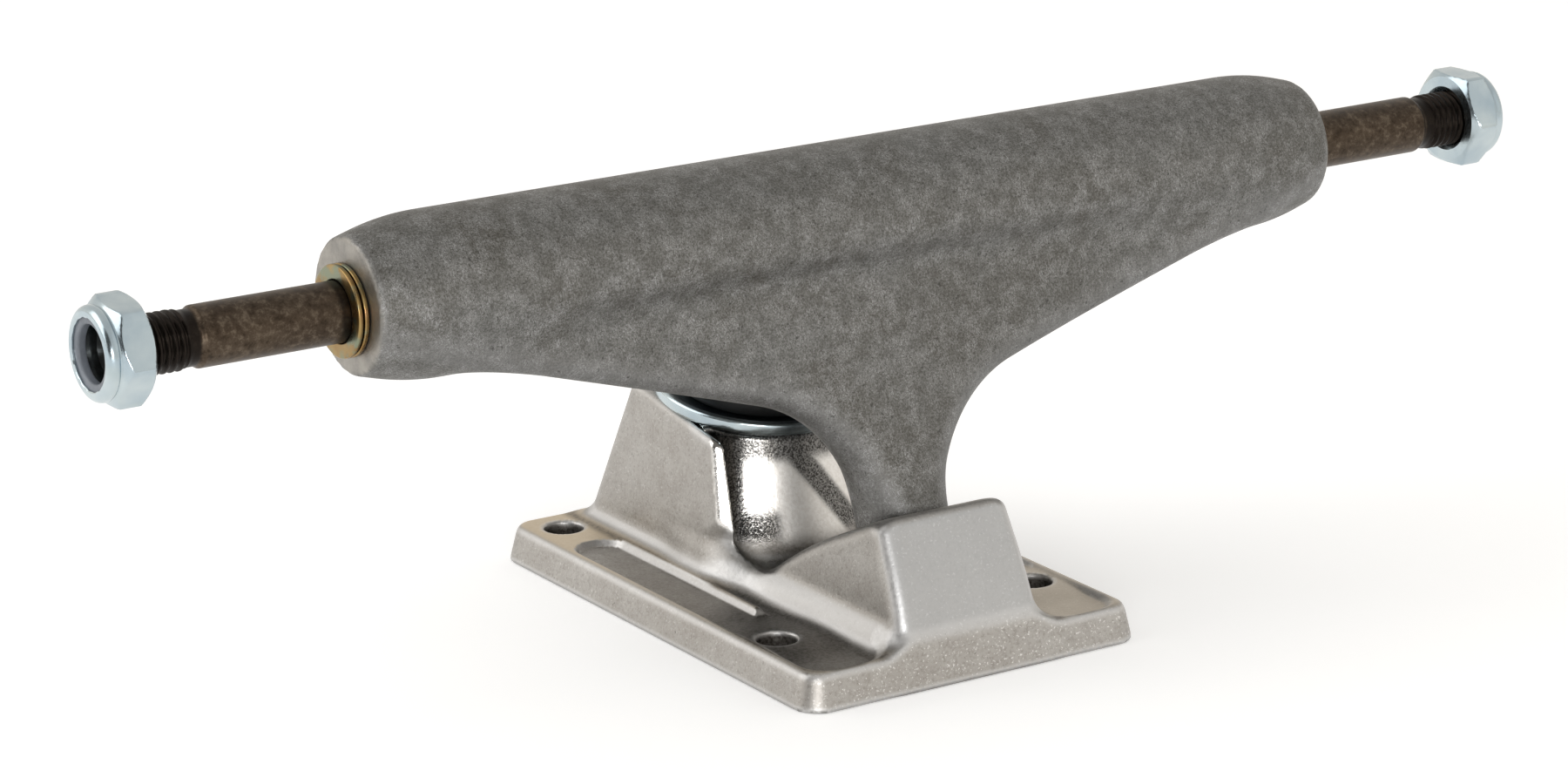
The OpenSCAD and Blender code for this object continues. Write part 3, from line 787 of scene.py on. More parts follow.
def plate_material():
    """Bright cast aluminium: warm silver, sparkling grain, grime and painted shade in its corners, a polished
    boss, and painted highlights, tints and dark reflections over it.
    """
    material, tree = new_material("bright_casting")
    cloud = noise(tree, 55, detail=5)
    patch = noise(tree, 300)
    grain = noise(tree, 2000, roughness=0.7)
    sparkle = ramp(noise(tree, 2900, detail=2), 0.61, 0.68)
    sparkle = product(sparkle, ramp(attribute(tree, "front"), 0, 1, start=0.25, end=0.65))
    pits = ramp(noise(tree, 1300, detail=3, roughness=0.7), 0.33, 0.26, end=0.6)
    # Painted shade, mottled by the grain
    soot = product(attribute(tree, "soot"), ramp(grain, 0.35, 0.6, start=1.0, end=0.6))
    # Grime and painted shade in the hollows, patchy
    grime = product(attribute(tree, "hollow"), ramp(patch, 0.3, 0.6, start=0.45, end=0.95))
    scuff = ramp(noise(tree, 1900, detail=2, roughness=0.5), 0.42, 0.56)
    mottle = ramp(noise(tree, 4200, detail=2, roughness=0.5), 0.4, 0.62, start=1.0, end=0.7)
    polish = attribute(tree, "polish")
    ground = coat(
        mix(scuff, (0.80, 0.775, 0.74, 1), (0.86, 0.84, 0.81, 1)),
        # Painted dark reflections round the boss's highlight, mottled
        smoke=(product(attribute(tree, "smoke"), mottle), (0.05, 0.048, 0.045, 1)),
    )
    colour = coat(
        mix(ramp(cloud, *SPREAD), (0.37, 0.348, 0.322, 1), (0.44, 0.422, 0.40, 1)),
        patch=(ramp(patch, 0.4, 0.65, end=0.45), (0.51, 0.495, 0.47, 1)),
        dark_grain=(ramp(grain, 0.52, 0.33, end=0.5), (0.22, 0.205, 0.18, 1)),
        sparkle=(sparkle, grey(0.85, 0.01)),
        pits=(pits, (0.08, 0.075, 0.065, 1)),
        # A warm tint painted on the flange's level top, standing in for the warm light it reflects
        tan=(attribute(tree, "tan"), (0.58, 0.494, 0.374, 1)),
        # A cooler tint painted on front faces, against the warm light
        cool=(attribute(tree, "cool", share=0.7), (0.49, 0.50, 0.51, 1)),
        soot=(soot, (0.085, 0.075, 0.063, 1)),
        wear=(attribute(tree, "wear", share=0.6), grey(0.66)),
        grime=(grime, (0.055, 0.048, 0.038, 1)),
        # Painted highlights on the fillets and the block's front corners
        band=(attribute(tree, "band", share=0.5), grey(0.68)),
        polish=(polish, ground),
    )
    rough = mix_number(polish, ramp(grain, *SPREAD, start=0.36, end=0.52), 0.12)
    rough = mix_number(attribute(tree, "satin"), rough, 0.46)
    relief = total(product(grain, 0.8), product(noise(tree, 420, detail=3), 0.5))
    return finish_material(material, colour, rough, relief, strength=0.45, depth=0.0001)


def zinc_material():
    """Bright zinc plate on steel, bluish with a faint yellow and green bloom."""
    material, tree = new_material("bright_zinc")
    cloud = noise(tree, 160, detail=3, roughness=0.5)
    fine = noise(tree, 1800, detail=3)
    bloom = ramp(noise(tree, 95, detail=2), 0.58, 0.75, end=0.4)
    colour = coat(
        mix(ramp(cloud, *SPREAD), (0.36, 0.445, 0.50, 1), (0.53, 0.60, 0.62, 1)),
        bloom=(bloom, (0.48, 0.53, 0.44, 1)),
    )
    rough = ramp(fine, *SPREAD, start=0.18, end=0.27)
    return finish_material(material, colour, rough, total(fine, cloud), strength=0.12, depth=0.00006)


def gold_material():
    """Yellow zinc plate with a slight rainbow."""
    material, tree = new_material("yellow_zinc")
    cloud = noise(tree, 380, detail=2, roughness=0.5)
    hue = noise(tree, 330, detail=2, roughness=0.5)
    colour = coat(
        mix(ramp(cloud, *SPREAD), (0.25, 0.145, 0.05, 1), (0.36, 0.26, 0.11, 1)),
        green=(ramp(hue, 0.52, 0.62, end=0.75), (0.19, 0.25, 0.19, 1)),
        red=(ramp(hue, 0.42, 0.32, end=0.5), (0.36, 0.19, 0.11, 1)),
    )
    rough = ramp(cloud, *SPREAD, start=0.24, end=0.36)
    fine = noise(tree, 2200, detail=2)
    return finish_material(material, colour, rough, fine, strength=0.15, depth=0.00004)


def oxide_material():
    """Dark brown oxide on drawn steel, black in the threads, with painted shade beside the outer speed rings."""
    material, tree = new_material("oxide_steel")
    cloud = noise(tree, 130, detail=5, roughness=0.65)
    speck = noise(tree, 900, roughness=0.75)
    along = add(tree, "Mapping", {"Vector": place(tree), "Scale": OXIDE_STREAKS}).outputs["Vector"]
    streak = noise(tree, 1.0, vector=along)
    colour = coat(
        mix(ramp(cloud, *SPREAD), (0.050, 0.036, 0.026, 1), (0.092, 0.069, 0.049, 1)),
        light_specks=(ramp(speck, 0.5, 0.66, end=0.7), (0.17, 0.135, 0.10, 1)),
        dark_specks=(ramp(speck, 0.46, 0.34, end=0.7), (0.025, 0.018, 0.012, 1)),
        streaks=(ramp(streak, 0.58, 0.75, end=0.3), (0.12, 0.085, 0.06, 1)),
        # Black in the threads, and painted shade on the axle beside the outer speed ring
        thread=(attribute(tree, "thread", share=0.9), (0.012, 0.010, 0.009, 1)),
    )
    rough = ramp(speck, *SPREAD, start=0.36, end=0.52)
    return finish_material(material, colour, rough, total(speck, streak), strength=0.3, depth=0.00005)


def plastic_material(name, dark, light, rough_low, rough_high, scale):
    """Moulded plastic with faint mottling and a fine surface."""
    material, tree = new_material(name)
    cloud = noise(tree, scale)
    fine = noise(tree, PLASTIC_FINENESS * scale, detail=3)
    colour = mix(ramp(cloud, *SPREAD), dark, light)
    rough = ramp(fine, *SPREAD, start=rough_low, end=rough_high)
    return finish_material(material, colour, rough, fine, strength=0.2, depth=0.00004, metallic=0.0)


MATERIALS = {
    "hanger_casting": hanger_material(),
    "plate_casting": plate_material(),
    "zinc_steel": zinc_material(),
    "gold_zinc": gold_material(),
    "oxide_steel": oxide_material(),
    "nylon": plastic_material("natural_nylon", grey(0.135, -0.1), grey(0.23, -0.09), 0.4, 0.5, 150),
    "urethane": plastic_material("black_urethane", grey(0.006), grey(0.014), 0.4, 0.55, 150),
    "cup_plastic": plastic_material("cup_plastic", grey(0.008), grey(0.016), 0.45, 0.6, 200),
}


# Pieces

NODE_BODY = {
    node: body
    for body, nodes in frame["record"]["behaviour"]["bodies"].items()
    for node in nodes
}
SHARP_ANGLE = math.radians(32)


def put(name, data):
    """A new object in the scene."""
    thing = bpy.data.objects.new(name, data)
    bpy.context.scene.collection.objects.link(thing)
    return thing


def piece(node, slot, points, faces, normals=None):
    """A mesh that stands for a CAD node, with the finish of a material slot."""
    mesh = bpy.data.meshes.new(node + "_detail")
    mesh.from_pydata(points * MM, [], faces)
    mesh.validate()
    mesh.shade_smooth()
    if normals is None:
        mesh.set_sharp_from_angle(angle=SHARP_ANGLE)
    else:
        mesh.normals_split_custom_set_from_vertices(normals)
    mesh.materials.append(MATERIALS[slot])
    thing = put(node + "_detail", mesh)
    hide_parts(node)
    return thing


def ride(thing, node):
    """Lets a piece move with the body of the node that it stands for."""
    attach(thing, NODE_BODY[node])


def make_piece(node, slot, shape):
    """A piece from its points and faces, on its body."""
    ride(piece(node, slot, *shape), node)


def paint(thing, name, values):
    """Stores a value for each point, which the materials read."""
    layer = thing.data.attributes.new(name, "FLOAT", "POINT")
    layer.data.foreach_set("value", np.clip(values, 0, 1).astype(np.float32))


# Painted zones of the castings
HANGER_WEAR_REACH = 1.6
PLATE_WEAR_REACH = 0.7
MACHINED = (HANGER_HALF - 0.3, HANGER_HALF - 0.02)
EAR_FACE_X = EAR_INSIDE - 1.2
BOSS_SIDE_X = EAR_INSIDE - 0.8
HOLE_WALL_R = HOLE_R + 0.12
GROUND_TILT = 0.3
# A dark streak painted on the boss as a reflection: a point on it, its slant and its length
STREAK_AT = (-3.6, 22.8)
STREAK_SLANT = (13.7, 10.0)
STREAK_LENGTH = 17.0
# Strength of the painted highlight along the fillets
FILLET_SHINE = 0.95
# Least share of the painted warm tint, towards the front
TAN_LEAST = 0.45
SMEAR_LEAST = 0.35
SMEAR_EASE = 0.5
# Shares of painted shade in the left panels, round the front holes, along the seams and in the bowl
SOOT = {"panel": 0.9, "hole": 0.75, "seam": 0.85, "bowl": 0.8}


def zone(at, **limits):
    """A product of steps over the measures in at that the limits are named for.

    A limit has the values where its step starts and is full. One with _end to its name has the
    value where a zone ends and the width of the fall before it.
    """
    share = 1.0
    for name, limit in limits.items():
        step = fall if name.endswith("_end") else smooth_step
        share = share * step(at[name.removesuffix("_end")], *limit)
    return share


def at_least(least, share):
    return least + (1 - least) * share


def paint_shape(thing, field, points, normals, reach):
    """Marks the raised edges and the hollows of a casting."""
    raised = 1 + field(points - reach * normals) / reach
    sunk = 1 - field(points + reach * normals) / reach
    paint(thing, "wear", zone({"raised": raised}, raised=(0.12, 0.5)))
    # How sunk each point is; the materials darken it as grime and painted shade
    paint(thing, "hollow", zone({"sunk": sunk}, sunk=(0.1, 0.6)))


def make_hanger():
    low, high = (np.array(corner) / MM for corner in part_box("hanger"))
    points, quads, normals = cast_surface(hanger_field, low, high, HANGER_STEP)
    thing = piece("hanger", "hanger_casting", points, quads, normals)
    paint_shape(thing, hanger_field, points, normals, HANGER_WEAR_REACH)
    x, y, z = folded(points)
    at = {"x": x, "y": y, "outline": wing_outline(x, z)}
    paint(thing, "machined", zone(at, x=MACHINED))
    # Lighter band along the lower rim: partly wear, partly painted light
    paint(thing, "rim", zone(at, outline=(-5, -2), outline_end=(0.5, 1), y_end=(-17, 2)))
    ride(thing, "hanger")


def plate_measures(points, normals):
    """What the baseplate's zones go by: place, facing, and distance from its features."""
    x, y, z = folded(points)
    aside, ahead, up = np.abs(normals[:, 0]), -normals[:, 1], normals[:, 2]
    slant = STREAK_SLANT[1] * (z - STREAK_AT[1]) + STREAK_SLANT[0] * (points[:, 0] - STREAK_AT[0])
    return {
        "x": x, "y": y, "z": z, "aside": aside, "ahead": ahead, "up": up,
        "ground": ahead + GROUND_TILT * up,
        "azimuth": np.degrees(np.arctan2(normals[:, 0], ahead)),
        "slant": np.abs(slant / STREAK_LENGTH),
        "hole": from_hole(x, y),
        "depth": FLANGE_TOP - z,
        "sink": FLANGE_TOP - flange_height(x, y),
        "foot": raised_field(points, x, y, z),
    }


def paint_boss(thing, at):
    """Polish on the ground front of the housing, and on the boss a satin side and painted dark reflections round
    its highlight.
    """
    polish = zone(at, y=(-17, -12), y_end=(8, 4), x_end=(15, 0.3), ground=(0.3, 0.55))
    foot = np.where(at["x"] > EAR_FACE_X, zone(at, z=(11.5, 13)), zone(at, z=(8.5, 11)))
    paint(thing, "polish", polish * foot)
    on_boss = zone(at, x_end=(BOSS_SIDE_X, 0.6))
    # Painted dark reflections left of the highlight, below it on the left, along the top and in a slanting streak
    shade = np.maximum(zone(at, azimuth_end=(-37, 6)), zone(at, z_end=(14.5, 2), azimuth_end=(-18, 6)))
    shade = np.maximum(shade, zone(at, z=(19, 21)))
    paint(thing, "smoke", on_boss * np.maximum(shade, zone(at, slant_end=(2.1, 1.0))))
    paint(thing, "satin", on_boss * zone(at, azimuth=(-27, -20)))


def paint_front(thing, at):
    """Painted highlights on fillets and block corners, and front faces that sparkle and are painted cooler higher
    up.
    """
    # Painted highlights along the fillets at the feet of the raised parts and on the block's front corners
    fillet = zone(at, up=(0.25, 0.45), up_end=(0.85, 0.2), z_end=(8.5, 1))
    corner = zone(at, x=(8, 9), y_end=(-33, 2), z=(5.5, 7), aside=(0.3, 0.5), ahead=(0.2, 0.45))
    paint(thing, "band", np.maximum(FILLET_SHINE * fillet, corner))
    front = zone(at, ahead=(0.6, 0.8), y_end=(-34, 2))
    paint(thing, "front", front)
    # A cooler tint painted on the front faces above the flange
    paint(thing, "cool", front * zone(at, z=(6, 8)))


def paint_flange(thing, at, left):
    """Painted warm tint on the flange's level top, and painted shade in its left panels, its holes, along its
    seams and in the bowl.
    """
    level = zone(at, up=(0.8, 0.95), z_end=(7, 1))
    sunk = zone(at, sink=(0.1, 0.45))
    # A warm tint painted on the level top, weaker towards the front and left off the left side's sunk panels
    paint(thing, "tan", level * (1 - sunk * left) * at_least(TAN_LEAST, zone(at, y=(-10, 25))))
    # Painted shade in the left side's sunk panels and round its front hole, eased near the front
    panel = SOOT["panel"] * sunk * at_least(SMEAR_LEAST, zone(at, y_end=(-8, 12)))
    near_hole = zone(at, hole_end=(9, 5)) * (at["y"] < 0)
    smear = np.maximum(panel, SOOT["hole"] * near_hole) * left
    smear = smear * (1 - SMEAR_EASE * zone(at, y_end=(-33, 6)))
    seam = zone(at, foot=(1.0, 1.9), foot_end=(3.3, 1.3)) * level
    bowl = zone(at, z=(2, 4), z_end=(11, 3), x_end=(9.5, 2), y=(-14, -11), y_end=(2, 1))
    # Painted shade inside the deck holes
    in_hole = zone(at, hole_end=(HOLE_WALL_R, 0.1), depth=(0.5, 1.2))
    marks = np.maximum(level * smear, SOOT["seam"] * seam)
    paint(thing, "soot", np.maximum(marks, np.maximum(in_hole, SOOT["bowl"] * bowl)))


def make_baseplate():
    points, quads, normals = cast_surface(plate_field, PLATE_LOW, PLATE_HIGH, PLATE_STEP)
    thing = piece("baseplate", "plate_casting", points, quads, normals)
    paint_shape(thing, plate_field, points, normals, PLATE_WEAR_REACH)
    at = plate_measures(points, normals)
    paint_boss(thing, at)
    paint_front(thing, at)
    paint_flange(thing, at, left=points[:, 0] < 0)
    ride(thing, "baseplate")


# Axle: its stations, thread, neck and tip; the pairs are measured from the thread's start
AXLE_PITCH = 1.058
AXLE_TIP = 0.9
AXLE_END_GAP = 0.02
THREAD_LENGTH = 10.9
THREAD_DEPTH = 0.5
THREAD_FLANK = 1.5
THREAD_CREST = 0.2
THREAD_STATIONS = 10
THREAD_RUN_IN = np.array([0.5, 1.9])
NECK_DEPTH = 0.38
NECK_START = np.array([-0.7, 0])
NECK_EASE = 0.75
NECK_END = np.array([1.0, 2.2])
NECK_LENGTH = 1.2
NECK_STATIONS = 9
PLAIN_GAP = 1.4
PLAIN_STATIONS = 160
THREAD_SOOT = np.array([-0.3, 0.3])
CREST_DROP = np.array([-0.1, -0.02])
CREST_WEAR = 0.7
# Painted shade on the axle beside the outer speed ring, stored with the threads' black
RING_SHADE = 0.9
RING_SHADE_REACH = 1.5
RING_SHADE_FADE = 0.7


def thread_cut(heights):
    """How far a right-hand thread cuts in at each height and angle, as a share of its depth."""
    phase = (heights[:, None] / AXLE_PITCH - TURN[None, :] / (2 * np.pi)) % 1.0
    wave = np.abs(2 * phase - 1)
    return np.clip(THREAD_FLANK * wave - THREAD_CREST, 0, 1)


def make_axle():
    line = AXLE["right"]
    _, high, _, radius = line.span("axle")
    thread_start = high - THREAD_LENGTH
    plain = np.linspace(0, thread_start - PLAIN_GAP, PLAIN_STATIONS)
    shoulder = np.linspace(thread_start - NECK_LENGTH, thread_start, NECK_STATIONS)
    dense = np.arange(thread_start, high - AXLE_END_GAP, AXLE_PITCH / THREAD_STATIONS)
    half = np.concatenate([plain, shoulder, dense[1:], [high]])
    heights = np.concatenate([-half[:0:-1], half])
    reach = np.abs(heights)
    depth = THREAD_DEPTH * smooth_step(reach, *(thread_start + THREAD_RUN_IN))
    neck = NECK_DEPTH * smooth_step(reach, *(thread_start + NECK_START))
    neck = neck * (1 - NECK_EASE * smooth_step(reach, *(thread_start + NECK_END)))
    chamfer = np.maximum(reach - high + AXLE_TIP, 0)
    cut = thread_cut(heights) * depth[:, None]
    radii = radius - np.maximum(np.maximum(cut, neck[:, None]), chamfer[:, None])
    shape = loft(line, radii, np.repeat(heights[:, None], SEGMENTS, 1), closed=False)
    thing = piece("axle", "oxide_steel", *shape)
    thread = np.repeat(smooth_step(reach, *(thread_start + THREAD_SOOT)), SEGMENTS)
    crest = smooth_step(radii.ravel(), *(radius + CREST_DROP))
    ring_face = line.span("right_outer_speed_ring")[1]
    shade = np.repeat(fall(reach, ring_face + RING_SHADE_REACH, RING_SHADE_FADE), SEGMENTS)
    # The threads' black, and painted shade beside the outer speed ring
    paint(thing, "thread", np.maximum(thread * (1 - CREST_WEAR * crest), RING_SHADE * shade))
    ride(thing, "axle")


# Hexagons, with their corners trimmed to a share of the full radius
HEX_SECTOR = math.radians(60)
HEX_TRIM = 0.985

# Lock nuts
NUT_BEVEL = 0.55
NUT_BEVEL_RISE = 0.5
NUT_FACE_INSET = 0.5
NUT_CHAMFER_INSET = 0.35
NUT_CHAMFER_SLOPE = 1.5
NUT_CHAMFER = np.linspace(0, 1.1, 12)
NUT_SHOULDER_INSET = 0.15
NUT_SHOULDER_SLOPE = 1.35
NUT_SHOULDER = np.linspace(1.5, 0.05, 16)
COLLAR_INSET = 0.28
COLLAR_NECK = 0.12
COLLAR_RISE = 0.4
COLLAR_ROUND = 0.6
COLLAR_BEND = np.linspace(0, math.pi / 2, 9)
LIP_EDGE = 0.15
LIP_DROP = 0.1
LIP_WAVES = 18
LIP_WAVE = 0.008
HEX_TOP_GAP = 0.05
INSERT_GAP = 0.04
INSERT_SEAT = 0.03
INSERT_FILLETS = (0.25, 0.1, 0.1, 0.45)
KINGPIN_NUT_LIP = 5.3
AXLE_NUT_LIP = 4.6
AXLE_NUT_TURN = {"left": math.radians(-8), "right": math.radians(2)}


def hex_radii(corner, first_corner):
    """A hexagon's half width across flats, and its radius at each segment."""
    flat = corner * math.cos(HEX_SECTOR / 2)
    radius = flat / np.cos((TURN - first_corner) % HEX_SECTOR - HEX_SECTOR / 2)
    return flat, np.minimum(radius, HEX_TRIM * corner)


def make_lock_nut(line, node, first_corner, lip):
    """A hex nut with chamfered corners and a rolled collar over its nylon ring."""
    insert = node + "_insert"
    low, high, bore, corner = line.span(node)
    insert_low, insert_high, _, insert_r = line.span(insert)
    flat, hexagon = hex_radii(corner, first_corner)
    hex_top = insert_low - HEX_TOP_GAP
    collar = flat - COLLAR_INSET
    bend_r = COLLAR_ROUND * (high - hex_top)
    rolled = lip * (1 + LIP_WAVE * np.sin(LIP_WAVES * TURN))
    seat_r = insert_r + INSERT_GAP
    rows = [(bore + NUT_BEVEL, low), (flat - NUT_FACE_INSET, low)]
    for rise in NUT_CHAMFER:
        chamfer = flat - NUT_CHAMFER_INSET + NUT_CHAMFER_SLOPE * rise
        rows.append((np.minimum(hexagon, chamfer), low + rise))
    for drop in NUT_SHOULDER:
        shoulder = collar - NUT_SHOULDER_INSET + NUT_SHOULDER_SLOPE * drop
        rows.append((np.minimum(hexagon, shoulder), hex_top - drop))
    rows += [(collar - COLLAR_NECK, hex_top + COLLAR_NECK), (collar, hex_top + COLLAR_RISE)]
    for bend in COLLAR_BEND:
        rows.append((collar - bend_r + bend_r * math.cos(bend), high - bend_r + bend_r * math.sin(bend)))
    rows += [
        (lip + LIP_EDGE, high), (rolled, high - LIP_DROP), (rolled, insert_high + INSERT_GAP),
        (seat_r, insert_high + INSERT_GAP), (seat_r, insert_low - INSERT_SEAT),
        (bore, insert_low - INSERT_SEAT), (bore, low + NUT_BEVEL_RISE),
    ]
    make_piece(node, "zinc_steel", loft_rows(line, rows, closed=True))
    make_piece(insert, "nylon", turned(line, ring_corners(*line.span(insert)), INSERT_FILLETS))


# Speed rings and cup washers
SPEED_RING_GAP = 0.16
SPEED_RING_FILLETS = (0.25, 0.25, 0.25, 0.25)
WASHER_THICK = 1.3
WASHER_FILLETS = (0.2, 1.1, 0.6, 0.6, 0.5, 0.2)


def make_speed_ring(line, node):
    low, high, bore, outer = line.span(node)
    corners = ring_corners(low + SPEED_RING_GAP / 2, high - SPEED_RING_GAP / 2, bore, outer)
    make_piece(node, "gold_zinc", turned(line, corners, SPEED_RING_FILLETS))


def make_cup_washer(node, rim_up):
    """A pressed cup: a flat base with a rolled rim towards its bushing."""
    low, high, bore, outer = KINGPIN.span(node)
    inside, rim = outer - WASHER_THICK, high - low
    section = [
        (bore, 0), (outer, 0), (outer, rim),
        (inside, rim), (inside, WASHER_THICK), (bore, WASHER_THICK),
    ]
    fillets = WASHER_FILLETS
    if rim_up:
        corners = [(radius, low + height) for radius, height in section]
    else:
        corners = [(radius, high - height) for radius, height in section[::-1]]
        fillets = fillets[::-1]
    make_piece(node, "zinc_steel", turned(KINGPIN, corners, fillets))


# Bushings: a barrel below the ring and a cone above it
BARREL_CROWN = 0.8
BARREL_FILLETS = (0.3, 1.6, 6, 1.6, 0.3)
CONE_FOOT = 2.8
CONE_TOP_R = 8.25
CONE_BEVEL = 0.8
CONE_FILLETS = (0.3, 0.9, 1.2, 0.8, 0.5, 0.3)


def make_lower_bushing():
    low, high, bore, outer = KINGPIN.span("lower_bushing")
    end_r = outer - BARREL_CROWN
    corners = [(bore, low), (end_r, low), (outer, (low + high) / 2), (end_r, high), (bore, high)]
    thing = piece("lower_bushing", "urethane", *turned(KINGPIN, corners, BARREL_FILLETS))
    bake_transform(thing)


def make_upper_bushing():
    low, high, bore, outer = KINGPIN.span("upper_bushing")
    corners = [
        (bore, low), (outer, low), (outer, low + CONE_FOOT),
        (CONE_TOP_R, high - CONE_BEVEL), (CONE_TOP_R - CONE_BEVEL, high), (bore, high),
    ]
    thing = piece("upper_bushing", "urethane", *turned(KINGPIN, corners, CONE_FILLETS))
    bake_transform(thing)


# Kingpin and pivot cup; the cup's lips are steps in from its rim and out from its mouth, and down
SHANK_R = 4.76
SHANK_TIP = 0.8
HEAD_HEIGHT = 6.0
HEAD_CHAMFER_INSET = 1.3
HEAD_CHAMFER_SLOPE = 1.5
HEAD_CHAMFER = np.linspace(0, 0.9, 8)
CUP_PLAY = 0.1
CUP_MOUTH = 1.2
CUP_BOWL = np.radians(np.linspace(-86, 0, 14))
CUP_RIM_LIP = ((0, 0.4), (0.15, 0.1), (0.4, 0))
CUP_MOUTH_LIP = ((0.3, 0), (0, 0.2))


def make_kingpin():
    low, high, _, corner = KINGPIN.span("kingpin")
    _, hexagon = hex_radii(corner, 0)
    rows = [
        (np.minimum(hexagon, corner - HEAD_CHAMFER_INSET + HEAD_CHAMFER_SLOPE * rise), low + rise)
        for rise in HEAD_CHAMFER
    ]
    rows += [
        (hexagon, low + HEAD_HEIGHT), (SHANK_R, low + HEAD_HEIGHT),
        (SHANK_R, high - SHANK_TIP), (SHANK_R - SHANK_TIP, high),
    ]
    make_piece("kingpin", "zinc_steel", loft_rows(KINGPIN, rows, closed=False))


def make_pivot_cup():
    """A moulded cup round the pivot's nose, open at its mouth."""
    _, high, _, outer = PIVOT.span("pivot_cup")
    inner = NOSE_R + CUP_PLAY
    mouth = inner + CUP_MOUTH
    rows = [(outer * math.cos(angle), outer * math.sin(angle)) for angle in CUP_BOWL]
    rows += [(outer - inset, high - drop) for inset, drop in CUP_RIM_LIP]
    rows += [(mouth + outset, high - drop) for outset, drop in CUP_MOUTH_LIP]
    rows += [(inner * math.cos(angle), inner * math.sin(angle)) for angle in CUP_BOWL[::-1]]
    make_piece("pivot_cup", "cup_plastic", loft_rows(PIVOT, rows, closed=True))


make_hanger()
make_baseplate()
make_axle()
make_kingpin()
make_pivot_cup()
make_cup_washer("lower_cup_washer", rim_up=True)
make_cup_washer("upper_cup_washer", rim_up=False)
make_lower_bushing()
make_upper_bushing()
make_lock_nut(KINGPIN, "kingpin_nut", 0.0, KINGPIN_NUT_LIP)
for side in ("left", "right"):
    make_lock_nut(AXLE[side], f"{side}_axle_nut", AXLE_NUT_TURN[side], AXLE_NUT_LIP)
    make_speed_ring(AXLE[side], f"{side}_inner_speed_ring")
    make_speed_ring(AXLE[side], f"{side}_outer_speed_ring")


# Studio, in metres and degrees
FLOOR_HALF = 6.0
FLOOR_COLOUR = (0.92, 0.92, 0.92, 1)
FLOOR_GLOW = 0.26
ROOM_LOW = (1.0, 0.95, 0.88, 1)
ROOM_HIGH = (0.74, 0.73, 0.71, 1)
ROOM_RISE = (0.0, 0.8)
DARK_COLOUR = (0.08, 0.077, 0.073, 1)
DARK_AIM = (-60, 18)
DARK_EDGE = (0.78, 0.87)
LIGHT_TARGET = Vector((0, 0, 0.03))
LIGHT_DISTANCE = 1.2

# Lights: name, azimuth, elevation, width and height, power
LIGHTS = (
    ("left", -115, 32, (1.0, 1.0), 5.0),
    ("front", -34, 10, (0.42, 0.2), 4.5),
    ("right", 38, 32, (0.9, 0.9), 0.4),
)

# Camera, fitted to the photograph
CAMERA_AIM = (-33.374, 16.826)
CAMERA_ROLL = math.radians(-0.229)
CAMERA_TARGET = Vector((-1.576, 0, 28.436)) * MM
CAMERA_DISTANCE = 0.6814
CAMERA_LENS = 115.22
CAMERA_SENSOR = 36
CAMERA_NEAR = 0.01


def aim(azimuth, elevation):
    """A direction from the truck, in degrees; azimuth 0 is in front, on the pivot side."""
    around, up = math.radians(azimuth), math.radians(elevation)
    return Vector((math.sin(around) * math.cos(up), -math.cos(around) * math.cos(up), math.sin(up)))


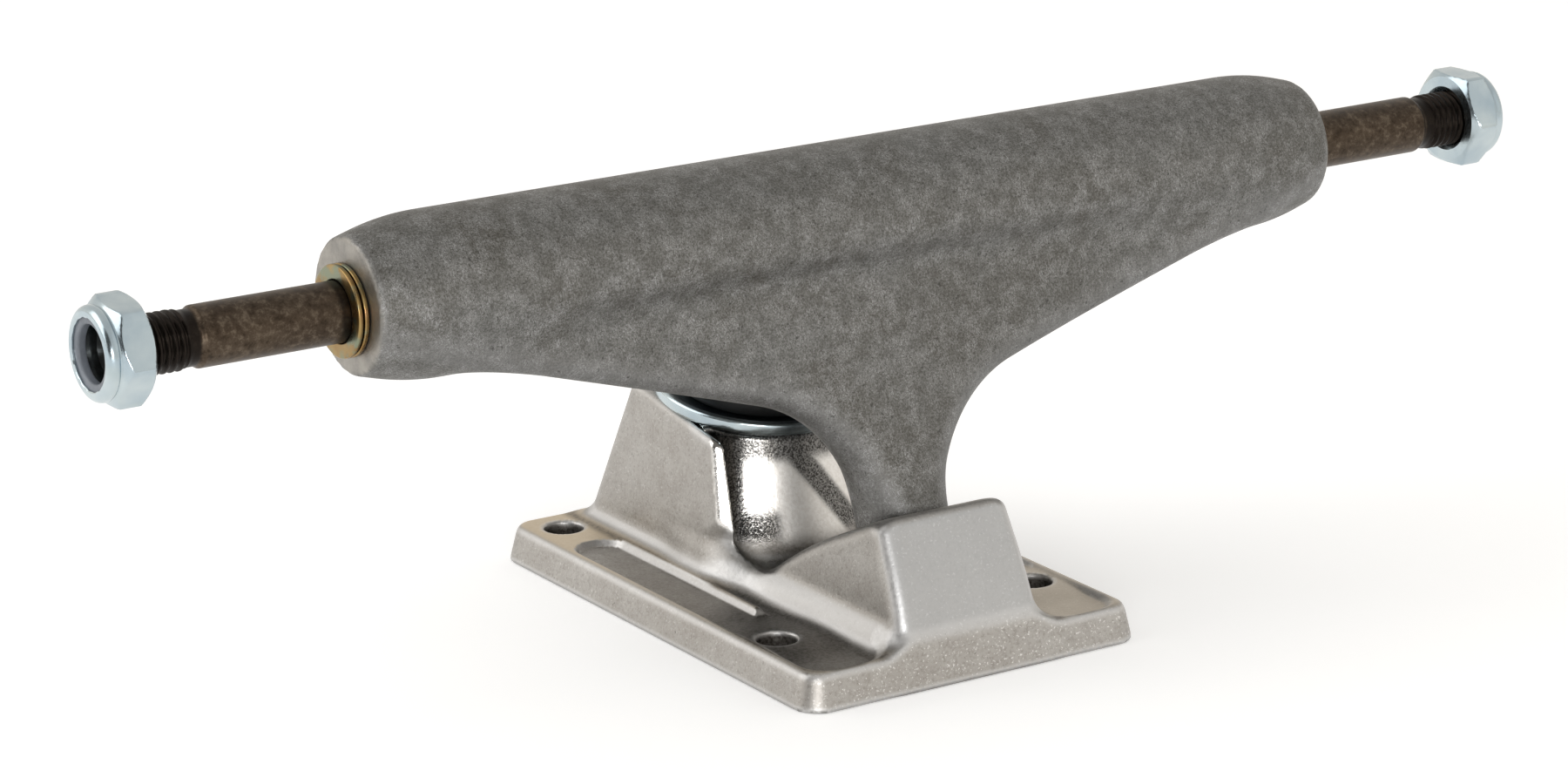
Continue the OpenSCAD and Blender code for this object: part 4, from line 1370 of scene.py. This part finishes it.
def make_floor():
    """A pale sheet that keeps the shadow and looks a little brighter than it lights."""
    mesh = bpy.data.meshes.new("floor")
    corners = [(x * FLOOR_HALF, y * FLOOR_HALF, 0) for x, y in ((-1, -1), (1, -1), (1, 1), (-1, 1))]
    mesh.from_pydata(corners, [], [(0, 1, 2, 3)])
    material, tree = new_material("pale_floor")
    paper = add(tree, "BsdfDiffuse", {"Color": FLOOR_COLOUR})
    glow = add(tree, "Emission", {"Color": (1, 1, 1, 1), "Strength": FLOOR_GLOW})
    both = add(tree, "AddShader", {0: paper.outputs[0], 1: glow.outputs[0]})
    path = add(tree, "LightPath")
    seen = total(path.outputs["Is Camera Ray"], path.outputs["Is Glossy Ray"])
    seen = total(seen, path.outputs["Is Transmission Ray"])
    pick = add(tree, "MixShader", {0: seen, 1: paper.outputs[0], 2: both.outputs[0]})
    add(tree, "OutputMaterial", {"Surface": pick.outputs[0]})
    mesh.materials.append(material)
    floor = put("floor", mesh)


def make_world():
    """A pale room that is darker overhead and beside the camera."""
    world = bpy.data.worlds.new("studio")
    bpy.context.scene.world = world
    tree = empty_tree(world)
    direction = add(tree, "TexCoord").outputs["Generated"]
    height = add(tree, "SeparateXYZ", {0: direction}).outputs["Z"]
    room = mix(ramp(height, *ROOM_RISE), ROOM_LOW, ROOM_HIGH)
    inputs = {0: direction, 1: aim(*DARK_AIM)}
    toward = add(tree, "VectorMath", inputs, operation="DOT_PRODUCT").outputs["Value"]
    room = mix(ramp(toward, *DARK_EDGE), room, DARK_COLOUR)
    background = add(tree, "Background", {"Color": room, "Strength": 1.0})
    add(tree, "OutputWorld", {"Surface": background.outputs[0]})


def make_light(name, azimuth, elevation, size, power):
    """A soft light aimed at the middle of the truck."""
    lamp = bpy.data.lights.new(name, "AREA")
    lamp.shape = "RECTANGLE"
    lamp.size, lamp.size_y = size
    lamp.energy = power
    light = put(name, lamp)
    away = aim(azimuth, elevation)
    light.location = LIGHT_TARGET + LIGHT_DISTANCE * away
    light.rotation_euler = away.to_track_quat("Z", "Y").to_euler()


def make_camera():
    back = aim(*CAMERA_AIM)
    azimuth = math.radians(CAMERA_AIM[0])
    right = Vector((math.cos(azimuth), math.sin(azimuth), 0))
    up = back.cross(right)
    rolled_right = math.cos(CAMERA_ROLL) * right + math.sin(CAMERA_ROLL) * up
    rolled_up = back.cross(rolled_right)
    turn = Matrix((rolled_right, rolled_up, back)).transposed().to_4x4()
    data = bpy.data.cameras.new("camera")
    data.lens = CAMERA_LENS
    data.sensor_width = CAMERA_SENSOR
    data.clip_start = CAMERA_NEAR
    camera = put("camera", data)
    camera.matrix_world = Matrix.Translation(CAMERA_TARGET + CAMERA_DISTANCE * back) @ turn
    bpy.context.scene.camera = camera


make_floor()
make_world()
for light in LIGHTS:
    make_light(*light)
make_camera()
bpy.context.scene.view_settings.view_transform = "Standard"

bpy.context.view_layer.update()
